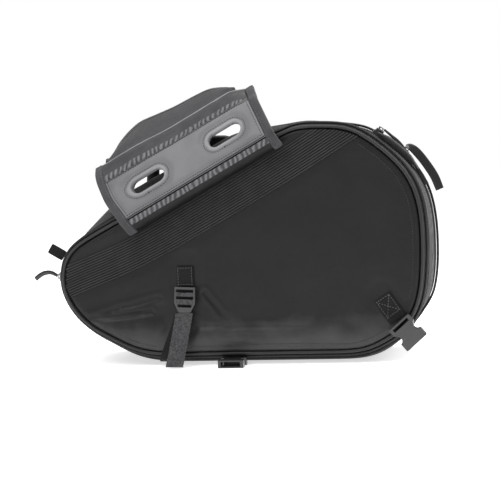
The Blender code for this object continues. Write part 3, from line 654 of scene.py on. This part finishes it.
def build_lid():
    rows = (  # out, scale about the middle, y
        (-0.0024, 1.00, 0.0743), (-0.0030, 1.00, 0.0820), (-0.0080, 1.00, 0.0890), (-0.0140, 0.97, 0.0915),
        (-0.0140, 0.86, 0.0930), (-0.0140, 0.83, 0.0970), (-0.0140, 0.78, 0.0985), (-0.0140, 0.45, 0.0995),
        (-0.0140, 0.10, 0.0997),
    )
    fine = [tuple(v) for v in smooth_path(rows, 4)]
    outer = [[shell_point(i, o, s, min(y, 0.0998)) for i in range(COUNT)] for o, s, y in fine]
    inner = []
    for o, s, y in reversed(rows):  # the side wall is thinned by its offset, the face by its scale
        thin, shrink = (SHELL_THICKNESS, 0) if s > 0.985 else (0, 0.008)
        inner.append([shell_point(i, o - thin, s - shrink, max(y - SHELL_THICKNESS, 0.0743)) for i in range(COUNT)])
    vertices, faces = skin(outer + inner, caps=False)
    last = (len(outer) + len(inner) - 1) * COUNT
    faces += [(last + k, last + (k + 1) % COUNT, (k + 1) % COUNT, k) for k in range(COUNT)]
    centre = (len(outer) - 1) * COUNT
    faces = [face for face in faces if min(face) < centre or max(face) >= centre + 2 * COUNT]
    faces += [tuple(range(centre, centre + COUNT)), tuple(reversed(range(centre + COUNT, centre + 2 * COUNT)))]
    piece("moulded_lid_shell", vertices, faces, "shell", "lid", "shell", "lid_shell")
    lines = [[shell_point(i, -0.0140, s, y) for i in range(COUNT + 1)]
             for s, y in ((0.895, 0.0930), (0.80, 0.0984))]
    stitches("lid_stitches", lines, "dark_thread", "lid", "shell", -OUTWARDS)
    section = [(k, 0.0) for k in range(7)] + [(k, 0.0008) for k in reversed(range(7))]
    rows = [[Vector((x, 0.0484 + 0.0052 * k / 6, 0.0042 - 0.0020 * math.sin(math.pi * k / 6) + lift))
             for k, lift in section] for x in between(-0.070, 0.115, 24)]
    hinge = piece("hinge_cloth", *skin(rows), "zip", None, "zip")
    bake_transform(hinge)


# ---------------------------------------------------------------- trim on the back panel
def inside(p, polygon):
    hit = False
    for a, b in zip(polygon, polygon[1:] + polygon[:1]):
        if (a.y > p.y) != (b.y > p.y) and p.x < a.x + (b.x - a.x) * (p.y - a.y) / (b.y - a.y):
            hit = not hit
    return hit


RIBS = 13


def build_band():
    """The wide webbing band: ribs woven along it, cut off at the panel's edge."""
    edge = [RING[i] - NORMALS[i] * 0.0108 for i in range(COUNT)]
    line = smooth_path(BAND_LINE, 24)
    lanes, count = 131, 110
    top, bottom = [], []
    for k in range(lanes):
        v = 2 * k / (lanes - 1) - 1
        steps = [course(line, i) for i in range(len(line))]
        path = [p + Vector((-step.y, step.x)) * v * BAND_HALF for p, step in zip(line, steps)]
        path = [p for p in path if inside(p, edge)]
        exact = []
        for m in range(count):
            share = m / (count - 1) * (len(path) - 1)
            low = min(int(share), len(path) - 2)
            exact.append(path[low] + (path[low + 1] - path[low]) * (share - low))
        rib = 0.5 + 0.5 * math.cos(v * math.pi * RIBS)
        flat = 1 if abs(v) < 0.86 else 0.35
        lift = 0.0009 + 0.0011 * rib**0.8 * flat
        if abs(v) > 0.985:
            lift = 0.0006
        top.append([Vector((p.x, BACK_Y - FIT - lift, p.y)) for p in exact])
        bottom.append([Vector((p.x, BACK_Y - FIT, p.y)) for p in exact])
    vertices, faces = skin(top, closed_round=False)
    start = len(vertices)
    under, more = skin(bottom, closed_round=False)
    vertices += under
    faces += [tuple(start + k for k in reversed(face)) for face in more]
    faces += [(a, a + start, b + start, b) for a, b in rim_of(count, lanes)]
    band = piece("woven_ribbed_band", vertices, faces, "webbing", "bag", "webbing", "ribbed_band")
    # lanes on the rib crests take the lighter material: a painted highlight along each rib
    band.data.materials.append(MATS["rib_crest_highlight"])
    for number, face in enumerate(band.data.polygons):
        lane = number // (count - 1)
        v = 2 * (lane + 0.5) / (lanes - 1) - 1
        if number < (lanes - 1) * (count - 1) and math.cos(v * math.pi * RIBS) > 0.35:
            face.material_index = 1
    rows = [[p + Vector((0, -0.0003, 0)) for p in top[k][2:-2]] for k in (6, lanes - 7)]
    stitches("band_stitches", rows, "dark_thread", "bag", "webbing", OUTWARDS)


def turned(angle, origin):
    along = Vector((math.cos(angle), 0, math.sin(angle)))
    return axes_at(origin, along, (-along.z, 0, along.x))


def box_line(placing, width, height, lift, cross=False):
    w, h = width / 2, height / 2
    corners = [placing @ Vector((x, y, lift)) for x, y in ((-w, -h), (w, -h), (w, h), (-w, h), (-w, -h))]
    lines = [corners]
    if cross:
        lines += [[corners[0], corners[2]], [corners[1], corners[3]]]
    return lines


def build_tabs():
    front = turned(0, Vector((-0.0787, BACK_Y - FIT, 0.1275)))
    piece("front_tab", *pillow(front, WEBBING, 0.0290, 0.0032), "webbing", "bag", "webbing", "front_anchor_tab")
    stitches("front_tab_stitches", box_line(front, 0.0195, 0.0235, 0.0032), "thread", "bag", "webbing", OUTWARDS)
    rear = turned(math.radians(-56), Vector((0.2085, BACK_Y - FIT, 0.0765)))
    piece("rear_tab", *pillow(rear, 0.0400, WEBBING + 0.002, 0.0032), "webbing", "bag", "webbing",
          "rear_anchor_tab")
    box = rear @ Matrix.Translation((-0.004, 0, 0))
    stitches("rear_tab_stitches", box_line(box, 0.0260, 0.0205, 0.0032, True), "thread", "bag", "webbing", OUTWARDS)
    nose = axes_at((-0.2735, -0.0560, 0.1635), Vector((-0.86, 0, 0.51)), Vector((0.48, 0.25, 0.84)))
    piece("nose_fold_tab", *pillow(nose, 0.0240, 0.0150, 0.0048), "webbing", "bag", "webbing", "nose_tab")
    lines = box_line(nose @ Matrix.Translation((-0.004, 0, 0)), 0.0110, 0.0105, 0.0048)
    stitches("nose_tab_stitches", lines, "dark_thread", "bag", "webbing", OUTWARDS)


def strap(path, lean, top_x, crease=None):
    """Rows of a webbing strap on a (y, z) path; its width runs along x and its foot leans forwards."""
    top = max(p[1] for p in path)
    points = [Vector((top_x + lean * (p.y - top), p.x, p.y)) for p in path]
    rows = []
    for k, point in enumerate(points):
        ahead = points[min(k + 1, len(points) - 1)] - points[max(k - 1, 0)]
        face = Vector((0, -ahead.z, ahead.y)).normalized() * -1
        bend = crease(k / (len(points) - 1)) if crease else 0.0
        row = []
        for a, b in oval(WEBBING / 2, WEBBING_THICKNESS / 2, 28, 5.0):
            wave = bend * (a / (WEBBING / 2))
            row.append(point + Vector((a, 0, 0)) + face * (b + wave))
        rows.append(row)
    return rows


def build_straps():
    y = LOCK_Y
    tail = smooth_path(((y - 0.0030, 0.0760), (y - 0.0050, 0.0620), (y - 0.0095, 0.0400), (y - 0.0155, 0.0180),
                        (y - 0.0215, 0.0022)), 10)
    rows = strap(tail, 0.185, -0.0805,
                 lambda t: 0.0016 * math.exp(-((t - 0.74) / 0.07) ** 2) + 0.0005 * math.sin(t * 5))
    piece("webbing_tail", *skin(rows), "grey_webbing", "strap_tail", "webbing", "strap_tail")
    held = smooth_path(((-0.0935, 0.0715), (-0.0932, 0.0460), (-0.0926, 0.0240), (-0.0898, 0.0118),
                        (-0.0830, 0.0066), (-0.0740, 0.0052), (-0.0680, 0.0044)), 8)
    strip = piece("loaded_strap", *skin(strap(held, 0.40, -0.0835)), "webbing", None, "webbing", "held_strap")
    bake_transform(strip)
    base = smooth_path(((-0.0560, 0.00095), (-0.0640, 0.0015), (-0.0740, 0.0040), (-0.0828, 0.0052)), 6)
    points = [Vector((-0.0135, p.x, p.y)) for p in base]
    tube("base_strap_tab", points, oval(WEBBING / 2, WEBBING_THICKNESS / 2, 24, 5.0), Vector((0, 0, 1)), "webbing",
         "bag", "webbing", "base_tab")


# ---------------------------------------------------------------- yoke
def settle(u, rise):
    """The yoke sags towards its rear end: how far its upper part comes down at a place along it."""
    sag = 0.0038 * ease((u + 0.070) / 0.070) + 0.0100 * ease((u - 0.088) / 0.036)
    return sag * ease((rise - 0.070) / 0.030)


def yoke_place(u, rise, y):
    if u < -0.108:
        u -= 0.0085 * ease((rise - 0.015) / 0.05) * ease((0.135 - rise) / 0.05)
    elif u < -0.075:
        u -= 0.0085 * ease((-u - 0.075) / 0.033) * ease((rise - 0.015) / 0.05) * ease((0.135 - rise) / 0.05)
    return YOKE_SEAM + ALONG * u + RISE * (rise - settle(u, rise)) + Vector((0, y, 0))


FACE_MIDDLE = (FACE_FOOT + FACE_HEAD) / 2
FACE_UP = RISE * math.cos(FACE_TILT) + Vector((0, math.sin(FACE_TILT), 0))
FACE_OUT = ALONG.cross(FACE_UP)


def face_place(u, v, lift):
    rise = FACE_MIDDLE.x + v * math.cos(FACE_TILT)
    return yoke_place(u, rise, FACE_MIDDLE.y + v * math.sin(FACE_TILT)) + FACE_OUT * lift


def slot_distance(u, v):
    reach = (SLOT_LENGTH - SLOT_WIDTH) / 2
    best = 1.0
    for side in (-1, 1):
        du = max(0.0, abs(u - side * SLOT_SPACING / 2) - reach)
        best = min(best, math.hypot(du, v) - SLOT_WIDTH / 2)
    return best


FACE_HALF_U, FACE_HALF_V = 0.1134, 0.0350
FACE_SEAM = 0.0012  # how far the long seams lie inside the padded face's edges
GATHER_PITCH = 0.0078


def gathers(u, upper, height, lean=0.0):
    """Ridges of the cloth gathered into the lower or the upper long seam of the yoke's face."""
    shift = noise.noise(Vector((u * 46, 0.7 if upper else 5.3, 0)))
    ridge = (0.5 + 0.5 * math.sin(u * 2 * math.pi / GATHER_PITCH + shift * 4.4 + lean)) ** 1.4
    return height * ridge * (0.55 + 0.9 * abs(noise.noise(Vector((u * 30, 9.0 if upper else 2.0, 0)))))


def pad_lift(u, v):
    """The padded face's surface: crowned, pressed down round the slots, gathered along both long seams."""
    to_seam = FACE_HALF_V - abs(v)
    edge = min(to_seam, FACE_HALF_U - abs(u))
    flat = ease((slot_distance(u, v) - 0.007) / 0.011)
    lift = 0.0034 + 0.0030 * ease(edge / 0.011) * (0.25 + 0.75 * flat)
    folds = gathers(u, v > 0, 0.0026, v * 60) * math.sin(math.pi * min(1.0, to_seam / FACE_SEAM))
    lift += ease((FACE_SEAM - to_seam) / 0.0020) * (folds - 0.0006)
    lift -= 0.0022 * ease(1 - abs(to_seam - FACE_SEAM) / 0.0016)
    return lift + 0.0006 * noise.noise(Vector((u * 55, v * 70, 1.0))) * flat


def stadium_loop(side, grow, steps=18):
    reach = (SLOT_LENGTH - SLOT_WIDTH) / 2
    radius = SLOT_WIDTH / 2 + grow
    centre = side * SLOT_SPACING / 2
    loop = []
    for sign, start in ((1, -90), (-1, 90)):
        for k in range(steps + 1):
            a = math.radians(start + 180 * k / steps)
            loop.append((centre + sign * reach + radius * math.cos(a), radius * math.sin(a)))
    full = []
    for (a, b), (c, d) in zip(loop, loop[1:] + loop[:1]):
        count = max(1, round(math.hypot(c - a, d - b) / 0.0018))
        full += [(a + (c - a) * k / count, b + (d - b) * k / count) for k in range(count)]
    return full


RIM_PROFILE = (  # out from the slot's edge, lift from the face's middle plane
    (0.0000, -0.0016), (-0.0002, 0.0010), (0.0002, 0.0042), (0.0010, 0.0051), (0.0026, 0.0055),
    (0.0042, 0.0051), (0.0052, 0.0043), (0.0054, 0.0024), (0.0030, 0.0016), (0.0010, -0.0016),
)


def build_face():
    across, up = 230, 60
    top, under = [], []
    for j in range(up + 1):
        v = -FACE_HALF_V + 2 * FACE_HALF_V * j / up
        for i in range(across + 1):
            u = -FACE_HALF_U + 2 * FACE_HALF_U * i / across
            top.append(face_place(u, v, pad_lift(u, v)))
            under.append(face_place(u, v, 0.0015))

    def in_slot(i, j):
        u = -FACE_HALF_U + 2 * FACE_HALF_U * i / across
        return slot_distance(u, -FACE_HALF_V + 2 * FACE_HALF_V * j / up) < 0.0022

    pad = piece("padded_yoke_face", *closed_sheet(top, under, across, up, in_slot), "grey_leather", "yoke",
                "grey_leather", "yoke_face")
    work = bmesh.new()
    work.from_mesh(pad.data)
    bmesh.ops.delete(work, geom=[v for v in work.verts if not v.link_faces], context="VERTS")
    work.to_mesh(pad.data)
    work.free()
    for tag, v in (("lower", FACE_SEAM - FACE_HALF_V), ("upper", FACE_HALF_V - FACE_SEAM)):
        line = [face_place(u, v, pad_lift(u, v) + 0.0004) for u in between(-0.1128, 0.1128, 150)]
        tube(f"face_seam_{tag}", line, oval(0.0008, 0.0006, 8), FACE_OUT, "dark_thread", "yoke", "grey_leather")
    for label, side in (("front", -1), ("rear", 1)):
        rows, loop = [], stadium_loop(side, 0.0)
        for (u, v), (u2, v2) in zip(loop, loop[1:] + loop[:1]):
            away = Vector((v2 - v, -(u2 - u))).normalized()
            rows.append([face_place(u + away.x * o, v + away.y * o, lift) for o, lift in RIM_PROFILE])
        # the rims are lighter than the face: a painted highlight on their rolled edges
        piece(f"padded_rim_{label}", *skin(rows, closed_along=True), "light_leather", "yoke", "grey_leather",
              f"slot_rim_{label}")
        loop = stadium_loop(side, 0.0076)
        line = [face_place(u, v, pad_lift(u, v) + 0.0002) for u, v in loop + loop[:1]]
        tack = [[face_place(side * SLOT_SPACING / 2 + k * 0.0011, v, lift)
                 for v, lift in ((-0.0175, 0.0052), (-0.0200, 0.0054))] for k in (-6, -5)]
        stitches(f"slot_stitches_{label}", [line] + tack, "dark_thread", "yoke", "grey_leather", FACE_OUT)
    lines = []
    for v in (-FACE_HALF_V + 0.0036, FACE_HALF_V - 0.0036):
        lines.append([face_place(u, v, pad_lift(u, v) + 0.0001) for u in between(-0.110, 0.110, 150)])
    for u in (-FACE_HALF_U + 0.0030, FACE_HALF_U - 0.0030):
        lines.append([face_place(u, v, pad_lift(u, v) + 0.0001) for v in between(-0.031, 0.031, 40)])
    stitches("face_stitches", lines, "dark_thread", "yoke", "grey_leather", FACE_OUT)


RIBBON_STEPS, RIBBON_THICKNESS = 230, 0.0025


def ribbon(name, path, finish, node, swell, ripple, seam):
    """A padded strip along the yoke on a (rise, y) path, gathered at its end 0 or 1, where the face's seam is."""
    half_u = YOKE_HALF - BINDING - FIT
    rows = []
    for i in range(RIBBON_STEPS + 1):
        u = -half_u + 2 * half_u * i / RIBBON_STEPS
        outer, inner = [], []
        for k, p in enumerate(path):
            ahead = course(path, k)
            out = Vector((ahead.y, -ahead.x))
            t = k / (len(path) - 1)
            puff = swell * math.sin(math.pi * t) + ripple * noise.noise(Vector((u * 60, t * 3, 2.0)))
            away = abs(t - seam) / 0.30
            puff += gathers(u, seam, 0.0022) * ease(1 - away) * ease(away / 0.12 + 0.2)
            a, b = p + out * (RIBBON_THICKNESS / 2 + puff), p - out * RIBBON_THICKNESS / 2
            outer.append(yoke_place(u, a.x, a.y))
            inner.append(yoke_place(u, b.x, b.y))
        rows.append(outer + inner[::-1])
    strip = piece(name, *skin(rows), finish, "yoke", "leatherette", node)
    # faces near the gathered seam take the painted shade of the folds and the painted highlight on their ridges
    strip.data.materials.append(MATS["ruched_painted_shade"])
    size = len(rows[0])
    for number, face in enumerate(strip.data.polygons):
        k = number % size
        away = abs((k + 0.5) / (len(path) - 1) - seam)
        if number < RIBBON_STEPS * size and k < len(path) - 1 and away < 0.26:
            face.material_index = 1


ARCH = smooth_path((  # along, rise: the tail flap's free edge
    (-0.1060, 0.1090), (-0.0970, 0.1195), (-0.0900, 0.1290), (-0.0740, 0.1385), (-0.0550, 0.1430),
    (-0.0290, 0.1390), (0.0020, 0.1340), (0.0380, 0.1312), (0.0610, 0.1276), (0.0830, 0.1165),
    (0.0980, 0.1060), (0.1080, 0.1000)), 8)


TAIL_SLOPE = 2.45  # how far the flap runs back for each metre it climbs


def arch(u):
    for a, b in zip(ARCH, ARCH[1:]):
        if u <= b.x:
            return a.y + (b.y - a.y) * max(0.0, u - a.x) / (b.x - a.x)
    return ARCH[-1].y


def tail_place(u, s, lift):
    """A point of the tail flap: s from 0 at the fold to 1 at its free edge."""
    rise = FOLD.x + (arch(u) + settle(u, 0.2) - FOLD.x) * s
    y = FOLD.y + (arch(u) - FOLD.x + 0.004) * s * TAIL_SLOPE
    bow = 0.0030 * math.sin(math.pi * s)
    return yoke_place(u, rise + bow + lift * 0.9, y - lift * 0.35)


def build_yoke():
    inner = YOKE_HALF - BINDING
    lower = smooth_path((Vector((0.0010, 0.0)), Vector((0.0065, -0.0125)), FACE_FOOT - Vector((0.0006, 0.0003))), 8)
    ribbon("soft_lower_strip", lower, "leatherette", "yoke_lower_strip", swell=0.0008, ripple=0.0004, seam=1)
    roll = smooth_path((FACE_HEAD + Vector((-0.0002, -0.0001)), Vector((0.0985, 0.0205)),
                        FOLD - Vector((0.0010, 0.0030))), 8)
    ribbon("soft_top_roll", roll, "roll_leather", "yoke_top_roll", swell=0.0026, ripple=0.0010, seam=0)
    edge = lower[4:-1] + [FACE_FOOT, *[FACE_FOOT + (FACE_HEAD - FACE_FOOT) * k / 8 for k in range(1, 8)], FACE_HEAD]
    edge += roll[1:]
    for label, side in (("front", -1), ("rear", 1)):
        u = side * (YOKE_HALF - BINDING / 2)
        points = [yoke_place(u, p.x, p.y) for p in edge]
        ups = [ALONG.cross(course(points, k)).normalized() for k in range(len(points))]
        tube(f"side_binding_{label}", points, oval(BINDING / 2 + 0.0002, 0.0034, 24, 5.0), ups, "binding", "yoke",
             "binding", f"yoke_binding_{label}")
        line = [p + n * 0.0034 - ALONG * side * 0.0034 for p, n in zip(points, ups)]
        stitches(f"binding_stitches_{label}", [line[1:]], "thread", "yoke", "binding", ups[len(ups) // 2])
    half, end, steps = 0.1050, 0.0970, 70
    sides = [[[tail_place(-half + (half + end) * i / steps, 0.02 + 0.95 * k / 16,
                          lift * (1 + 0.5 * math.sin(math.pi * k / 16))) for k in range(17)]
              for i in range(steps + 1)] for lift in (0.0011, -0.0011)]
    rows = [a + b[::-1] for a, b in zip(*sides)]
    piece("soft_tail_flap", *skin(rows), "roll_leather", "yoke", "leatherette", "yoke_tail")
    rim = [tail_place(-half, s, 0) for s in between(0.02, 0.9, 10)]
    rim += [tail_place(u, 1.0, 0) for u in between(-half + 0.004, end - 0.004, 70)]
    rim += [tail_place(end, s, 0) for s in between(0.9, 0.02, 10)]
    tube("tail_edge_tape", rim, oval(0.0048, 0.0020, 16, 3.0), Vector((0, -0.35, 0.94)), "binding", "yoke",
         "binding", "yoke_tail_binding")
    line = [tail_place(u, 0.72, 0.0016) for u in between(-0.096, 0.096, 90)]
    near = [tail_place(u, 0.93, 0.0022) for u in between(-0.098, 0.098, 90)]
    # a lighter cord along the fold: a painted highlight where the fold's ridge catches the light
    fold = [yoke_place(u, FOLD.x - 0.0004, FOLD.y - 0.0040) for u in between(-inner, inner, 90)]
    tube("fold_highlight_cord", fold, oval(0.0014, 0.0014, 10), Vector((0, 0, 1)), "light_leather", "yoke", "leatherette")
    stitches("tail_stitches", [line, near], "thread", "yoke", "binding", Vector((-0.2, -0.4, 0.9)))


# ---------------------------------------------------------------- carry handle, pulls
def build_handle():
    line = smooth_path(((-0.1430, 0.2530), (-0.1425, 0.2640), (-0.1395, 0.2880), (-0.1220, 0.3045),
                        (-0.0940, 0.3110), (-0.0600, 0.3130), (-0.0380, 0.3130), (-0.0240, 0.3125)), 10)
    points = [Vector((p.x, 0.014, p.y)) for p in line]

    def size(t):
        ends = ease(t / 0.10) * ease((1 - t) / 0.12)
        return (0.82 + 0.18 * ends, 0.75 + 0.25 * ends)

    handle = tube("padded_carry_handle", points, oval(0.0092, 0.0070, 22, 2.6), OUTWARDS, "handle", "bag",
                  "binding", "carry_handle", scale=size)
    line = [p + OUTWARDS * 0.0066 for p in points[4:-4]]
    stitches("handle_stitches", [line], "dark_thread", "bag", "binding", OUTWARDS)


PULL_LOW = ((0.2262, 0.0500, 0.2960, 0.4), (0.2330, 0.0490, 0.2950, 0.8), (0.2422, 0.0480, 0.2872, 1.0),
            (0.2548, 0.0475, 0.2708, 1.0), (0.2665, 0.0475, 0.2516, 1.0), (0.2738, 0.0480, 0.2325, 0.95))
PULL_HIGH = ((0.1960, 0.0470, 0.3215, 0.6), (0.2060, 0.0445, 0.3125, 0.8), (0.2180, 0.0430, 0.3011, 1.0),
             (0.2305, 0.0420, 0.2833, 1.0), (0.2430, 0.0415, 0.2640, 1.0), (0.2553, 0.0415, 0.2403, 1.4))
PULL_NOSE = ((-0.2725, -0.0640, 0.1300, 0.7), (-0.2820, -0.0630, 0.1345, 0.9), (-0.2920, -0.0620, 0.1338, 1.0),
             (-0.3000, -0.0615, 0.1300, 1.0), (-0.3059, -0.0610, 0.1254, 1.0))


def pull(name, path, half_width, half_thickness, body, face):
    """A moulded grip on an (x, y, z, width share) path; face is the way its broad side looks."""
    fine = smooth_path([Vector(p) for p in path], 7)
    points = [Vector(p[:3]) for p in fine]
    shares = [p[3] for p in fine]
    rows = sweep(points, oval(half_width, half_thickness, 20, 3.2), face)
    rows = [[c + (v - c) * max(0.25, w) for v in row] for row, c, w in zip(rows, points, shares)]
    return piece(name, *skin(rows), "plastic", body, "plastic", body)


def build_guard():
    """The flap of cloth beside the sliders, which covers the zip's end."""
    first = min(range(COUNT), key=lambda i: (RING[i] - Vector((0.186, 0.318))).length)
    last = min(range(COUNT), key=lambda i: (RING[i] - Vector((0.240, 0.262))).length)
    points = [ring_point(i, 0.0030, 0.034) for i in range(first, last + 1)]
    ups = [Vector((NORMALS[i].x, 0, NORMALS[i].y)) for i in range(first, last + 1)]

    def size(t):
        return (1.0, 0.25 + 0.75 * ease(t / 0.25) * ease((1 - t) / 0.35))

    tube("zip_guard", points, oval(0.0085, 0.0052, 20, 3.0), ups, "zip", "bag", "zip", scale=size)


def build_pulls():
    build_guard()
    pull("curved_grip", PULL_LOW, 0.0066, 0.0016, "pull_low", Vector((0.25, -0.90, 0.35)))
    pull("thin_grip", PULL_HIGH, 0.0026, 0.0012, "pull_high", Vector((0.2, -0.90, 0.3)))
    pull("cord_loop", PULL_NOSE, 0.0033, 0.0012, "pull_nose", OUTWARDS)
    for name, x, z, turn, reach in (
        ("high", 0.18936, 0.31933, -33, 0.0075), ("low", 0.22521, 0.28955, -46, 0.0105),
    ):
        angle = math.radians(turn)
        along = Vector((math.cos(angle), 0, math.sin(angle)))
        place = axes_at(Vector((x, ZIP_Y, z)), along, (0, 1, 0)) @ Matrix.Translation((0, 0, -reach))
        piece(f"slider_body_{name}", *pillow(place, 0.0190, 0.0105, reach - 0.0002, 14, 10), "plastic",
              f"slider_{name}", "metal")


def build_lock_webbing():
    """The webbing that shows where it is threaded over the ladder lock's two bars."""
    face = Matrix.Translation((-0.0787, LOCK_Y, 0.1125)) @ axes_at((0, 0, 0), (1, 0, 0), (0, 0, 1))
    face = face @ Matrix.Rotation(-math.radians(3), 4, "Z")
    for tag, z, height in (("upper", -0.01025, 0.0056), ("lower", -0.02075, 0.0072)):
        place = face @ Matrix.Translation((0, z, 0.0018))
        piece(f"threaded_webbing_{tag}", *pillow(place, 0.0225, height, 0.0011), "grey_webbing", "ladder_lock",
              "webbing")


def finish_cad():
    """The CAD pieces whose shape is right: their own surface, and rounded edges on the hard ones."""
    for finish, width, segments, names in (
        ("plastic", 0.0009, 3, ("ladder_lock", "rear_socket", "base_socket")),
        ("metal", 0.0005, 2, ("slider_high", "slider_low", "slider_nose")),
        ("board", 0, 0, ("back_board", "yoke_board")),
        ("lining", 0, 0, ("back_lining", "yoke_face_lining", "lid_lining")),
        ("mesh", 0, 0, ("mesh_pocket",)),
        ("webbing", 0, 0, ("inner_strap_front", "inner_strap_rear")),
    ):
        for name in names:
            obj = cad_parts[name]
            obj.data.materials.clear()
            obj.data.materials.append(MATS[finish])
            if width:
                bevel = obj.modifiers.new("Rounded", "BEVEL")
                bevel.width = width
                bevel.segments = segments
                bevel.limit_method = "ANGLE"
                bevel.angle_limit = math.radians(35)
                bevel.harden_normals = True


# ---------------------------------------------------------------- studio
AMBIENT = 0.45  # the white surroundings that light the bag; the camera sees them as plain white
FLOOR_REACH = 14.0
LIGHTS = (  # name, place, target, size, power
    ("key", (-0.8, -1.2, 1.5), (0.0, -0.05, 0.2), 1.0, 14.0),
    ("top", (0.1, 0.2, 2.6), (0.0, 0.0, 0.0), 3.0, 60.0),
    ("rear_fill", (1.6, 0.9, 1.4), (0.1, 0.0, 0.2), 1.4, 16.0),
)
CAMERA_PLACE = (0.41963, -2.45666, 0.35099)
CAMERA_AXES = ((0.98548, 0.16537, -0.03858), (0.02493, 0.08380, 0.99617), (0.16797, -0.98266, 0.07846))


def build_floor():
    floor = bpy.data.meshes.new("floor")
    far = FLOOR_REACH
    floor.from_pydata([(-far, -far, 0), (far, -far, 0), (far, far, 0), (-far, far, 0)], [], [(0, 1, 2, 3)])
    pale = bpy.data.materials.new("studio_floor")
    pale.use_nodes = True
    sockets = pale.node_tree.nodes["Principled BSDF"].inputs
    for socket, value in (("Base Color", (0.92, 0.92, 0.92, 1)), ("Roughness", 0.9), ("Specular IOR Level", 0.0),
                          ("Emission Color", (1, 1, 1, 1)), ("Emission Strength", 0.60)):
        sockets[socket].default_value = value
    floor.materials.append(pale)
    linked("floor", floor)


def build_studio():
    build_floor()
    world = bpy.data.worlds.new("studio")
    world.use_nodes = True
    tree = world.node_tree
    around, seen = tree.nodes["Background"], tree.nodes.new("ShaderNodeBackground")
    around.inputs["Strength"].default_value = AMBIENT
    for node in (around, seen):
        node.inputs["Color"].default_value = (1.0, 1.0, 1.0, 1)
    mix, path = tree.nodes.new("ShaderNodeMixShader"), tree.nodes.new("ShaderNodeLightPath")
    tree.links.new(path.outputs["Is Camera Ray"], mix.inputs[0])
    tree.links.new(around.outputs[0], mix.inputs[1])
    tree.links.new(seen.outputs[0], mix.inputs[2])
    tree.links.new(mix.outputs[0], tree.nodes["World Output"].inputs["Surface"])
    scene = bpy.context.scene
    scene.world = world
    scene.view_settings.view_transform = "Standard"
    for name, place, target, size, power in LIGHTS:
        light = bpy.data.lights.new(name, "AREA")
        light.shape = "DISK"
        light.size = size
        light.energy = power
        lamp = linked(name, light)
        lamp.location = place
        lamp.rotation_euler = (Vector(target) - Vector(place)).to_track_quat("-Z", "Y").to_euler()
    lens = bpy.data.cameras.new("camera")
    lens.lens = 124
    lens.sensor_width = 36
    camera = linked("camera", lens)
    camera.matrix_world = Matrix.Translation(CAMERA_PLACE) @ Matrix(CAMERA_AXES).transposed().to_4x4()
    scene.camera = camera


finish_cad()
build_body()
build_panel()
build_piping()
build_lid()
build_band()
build_tabs()
build_straps()
build_face()
build_yoke()
build_handle()
build_pulls()
build_lock_webbing()
build_studio()
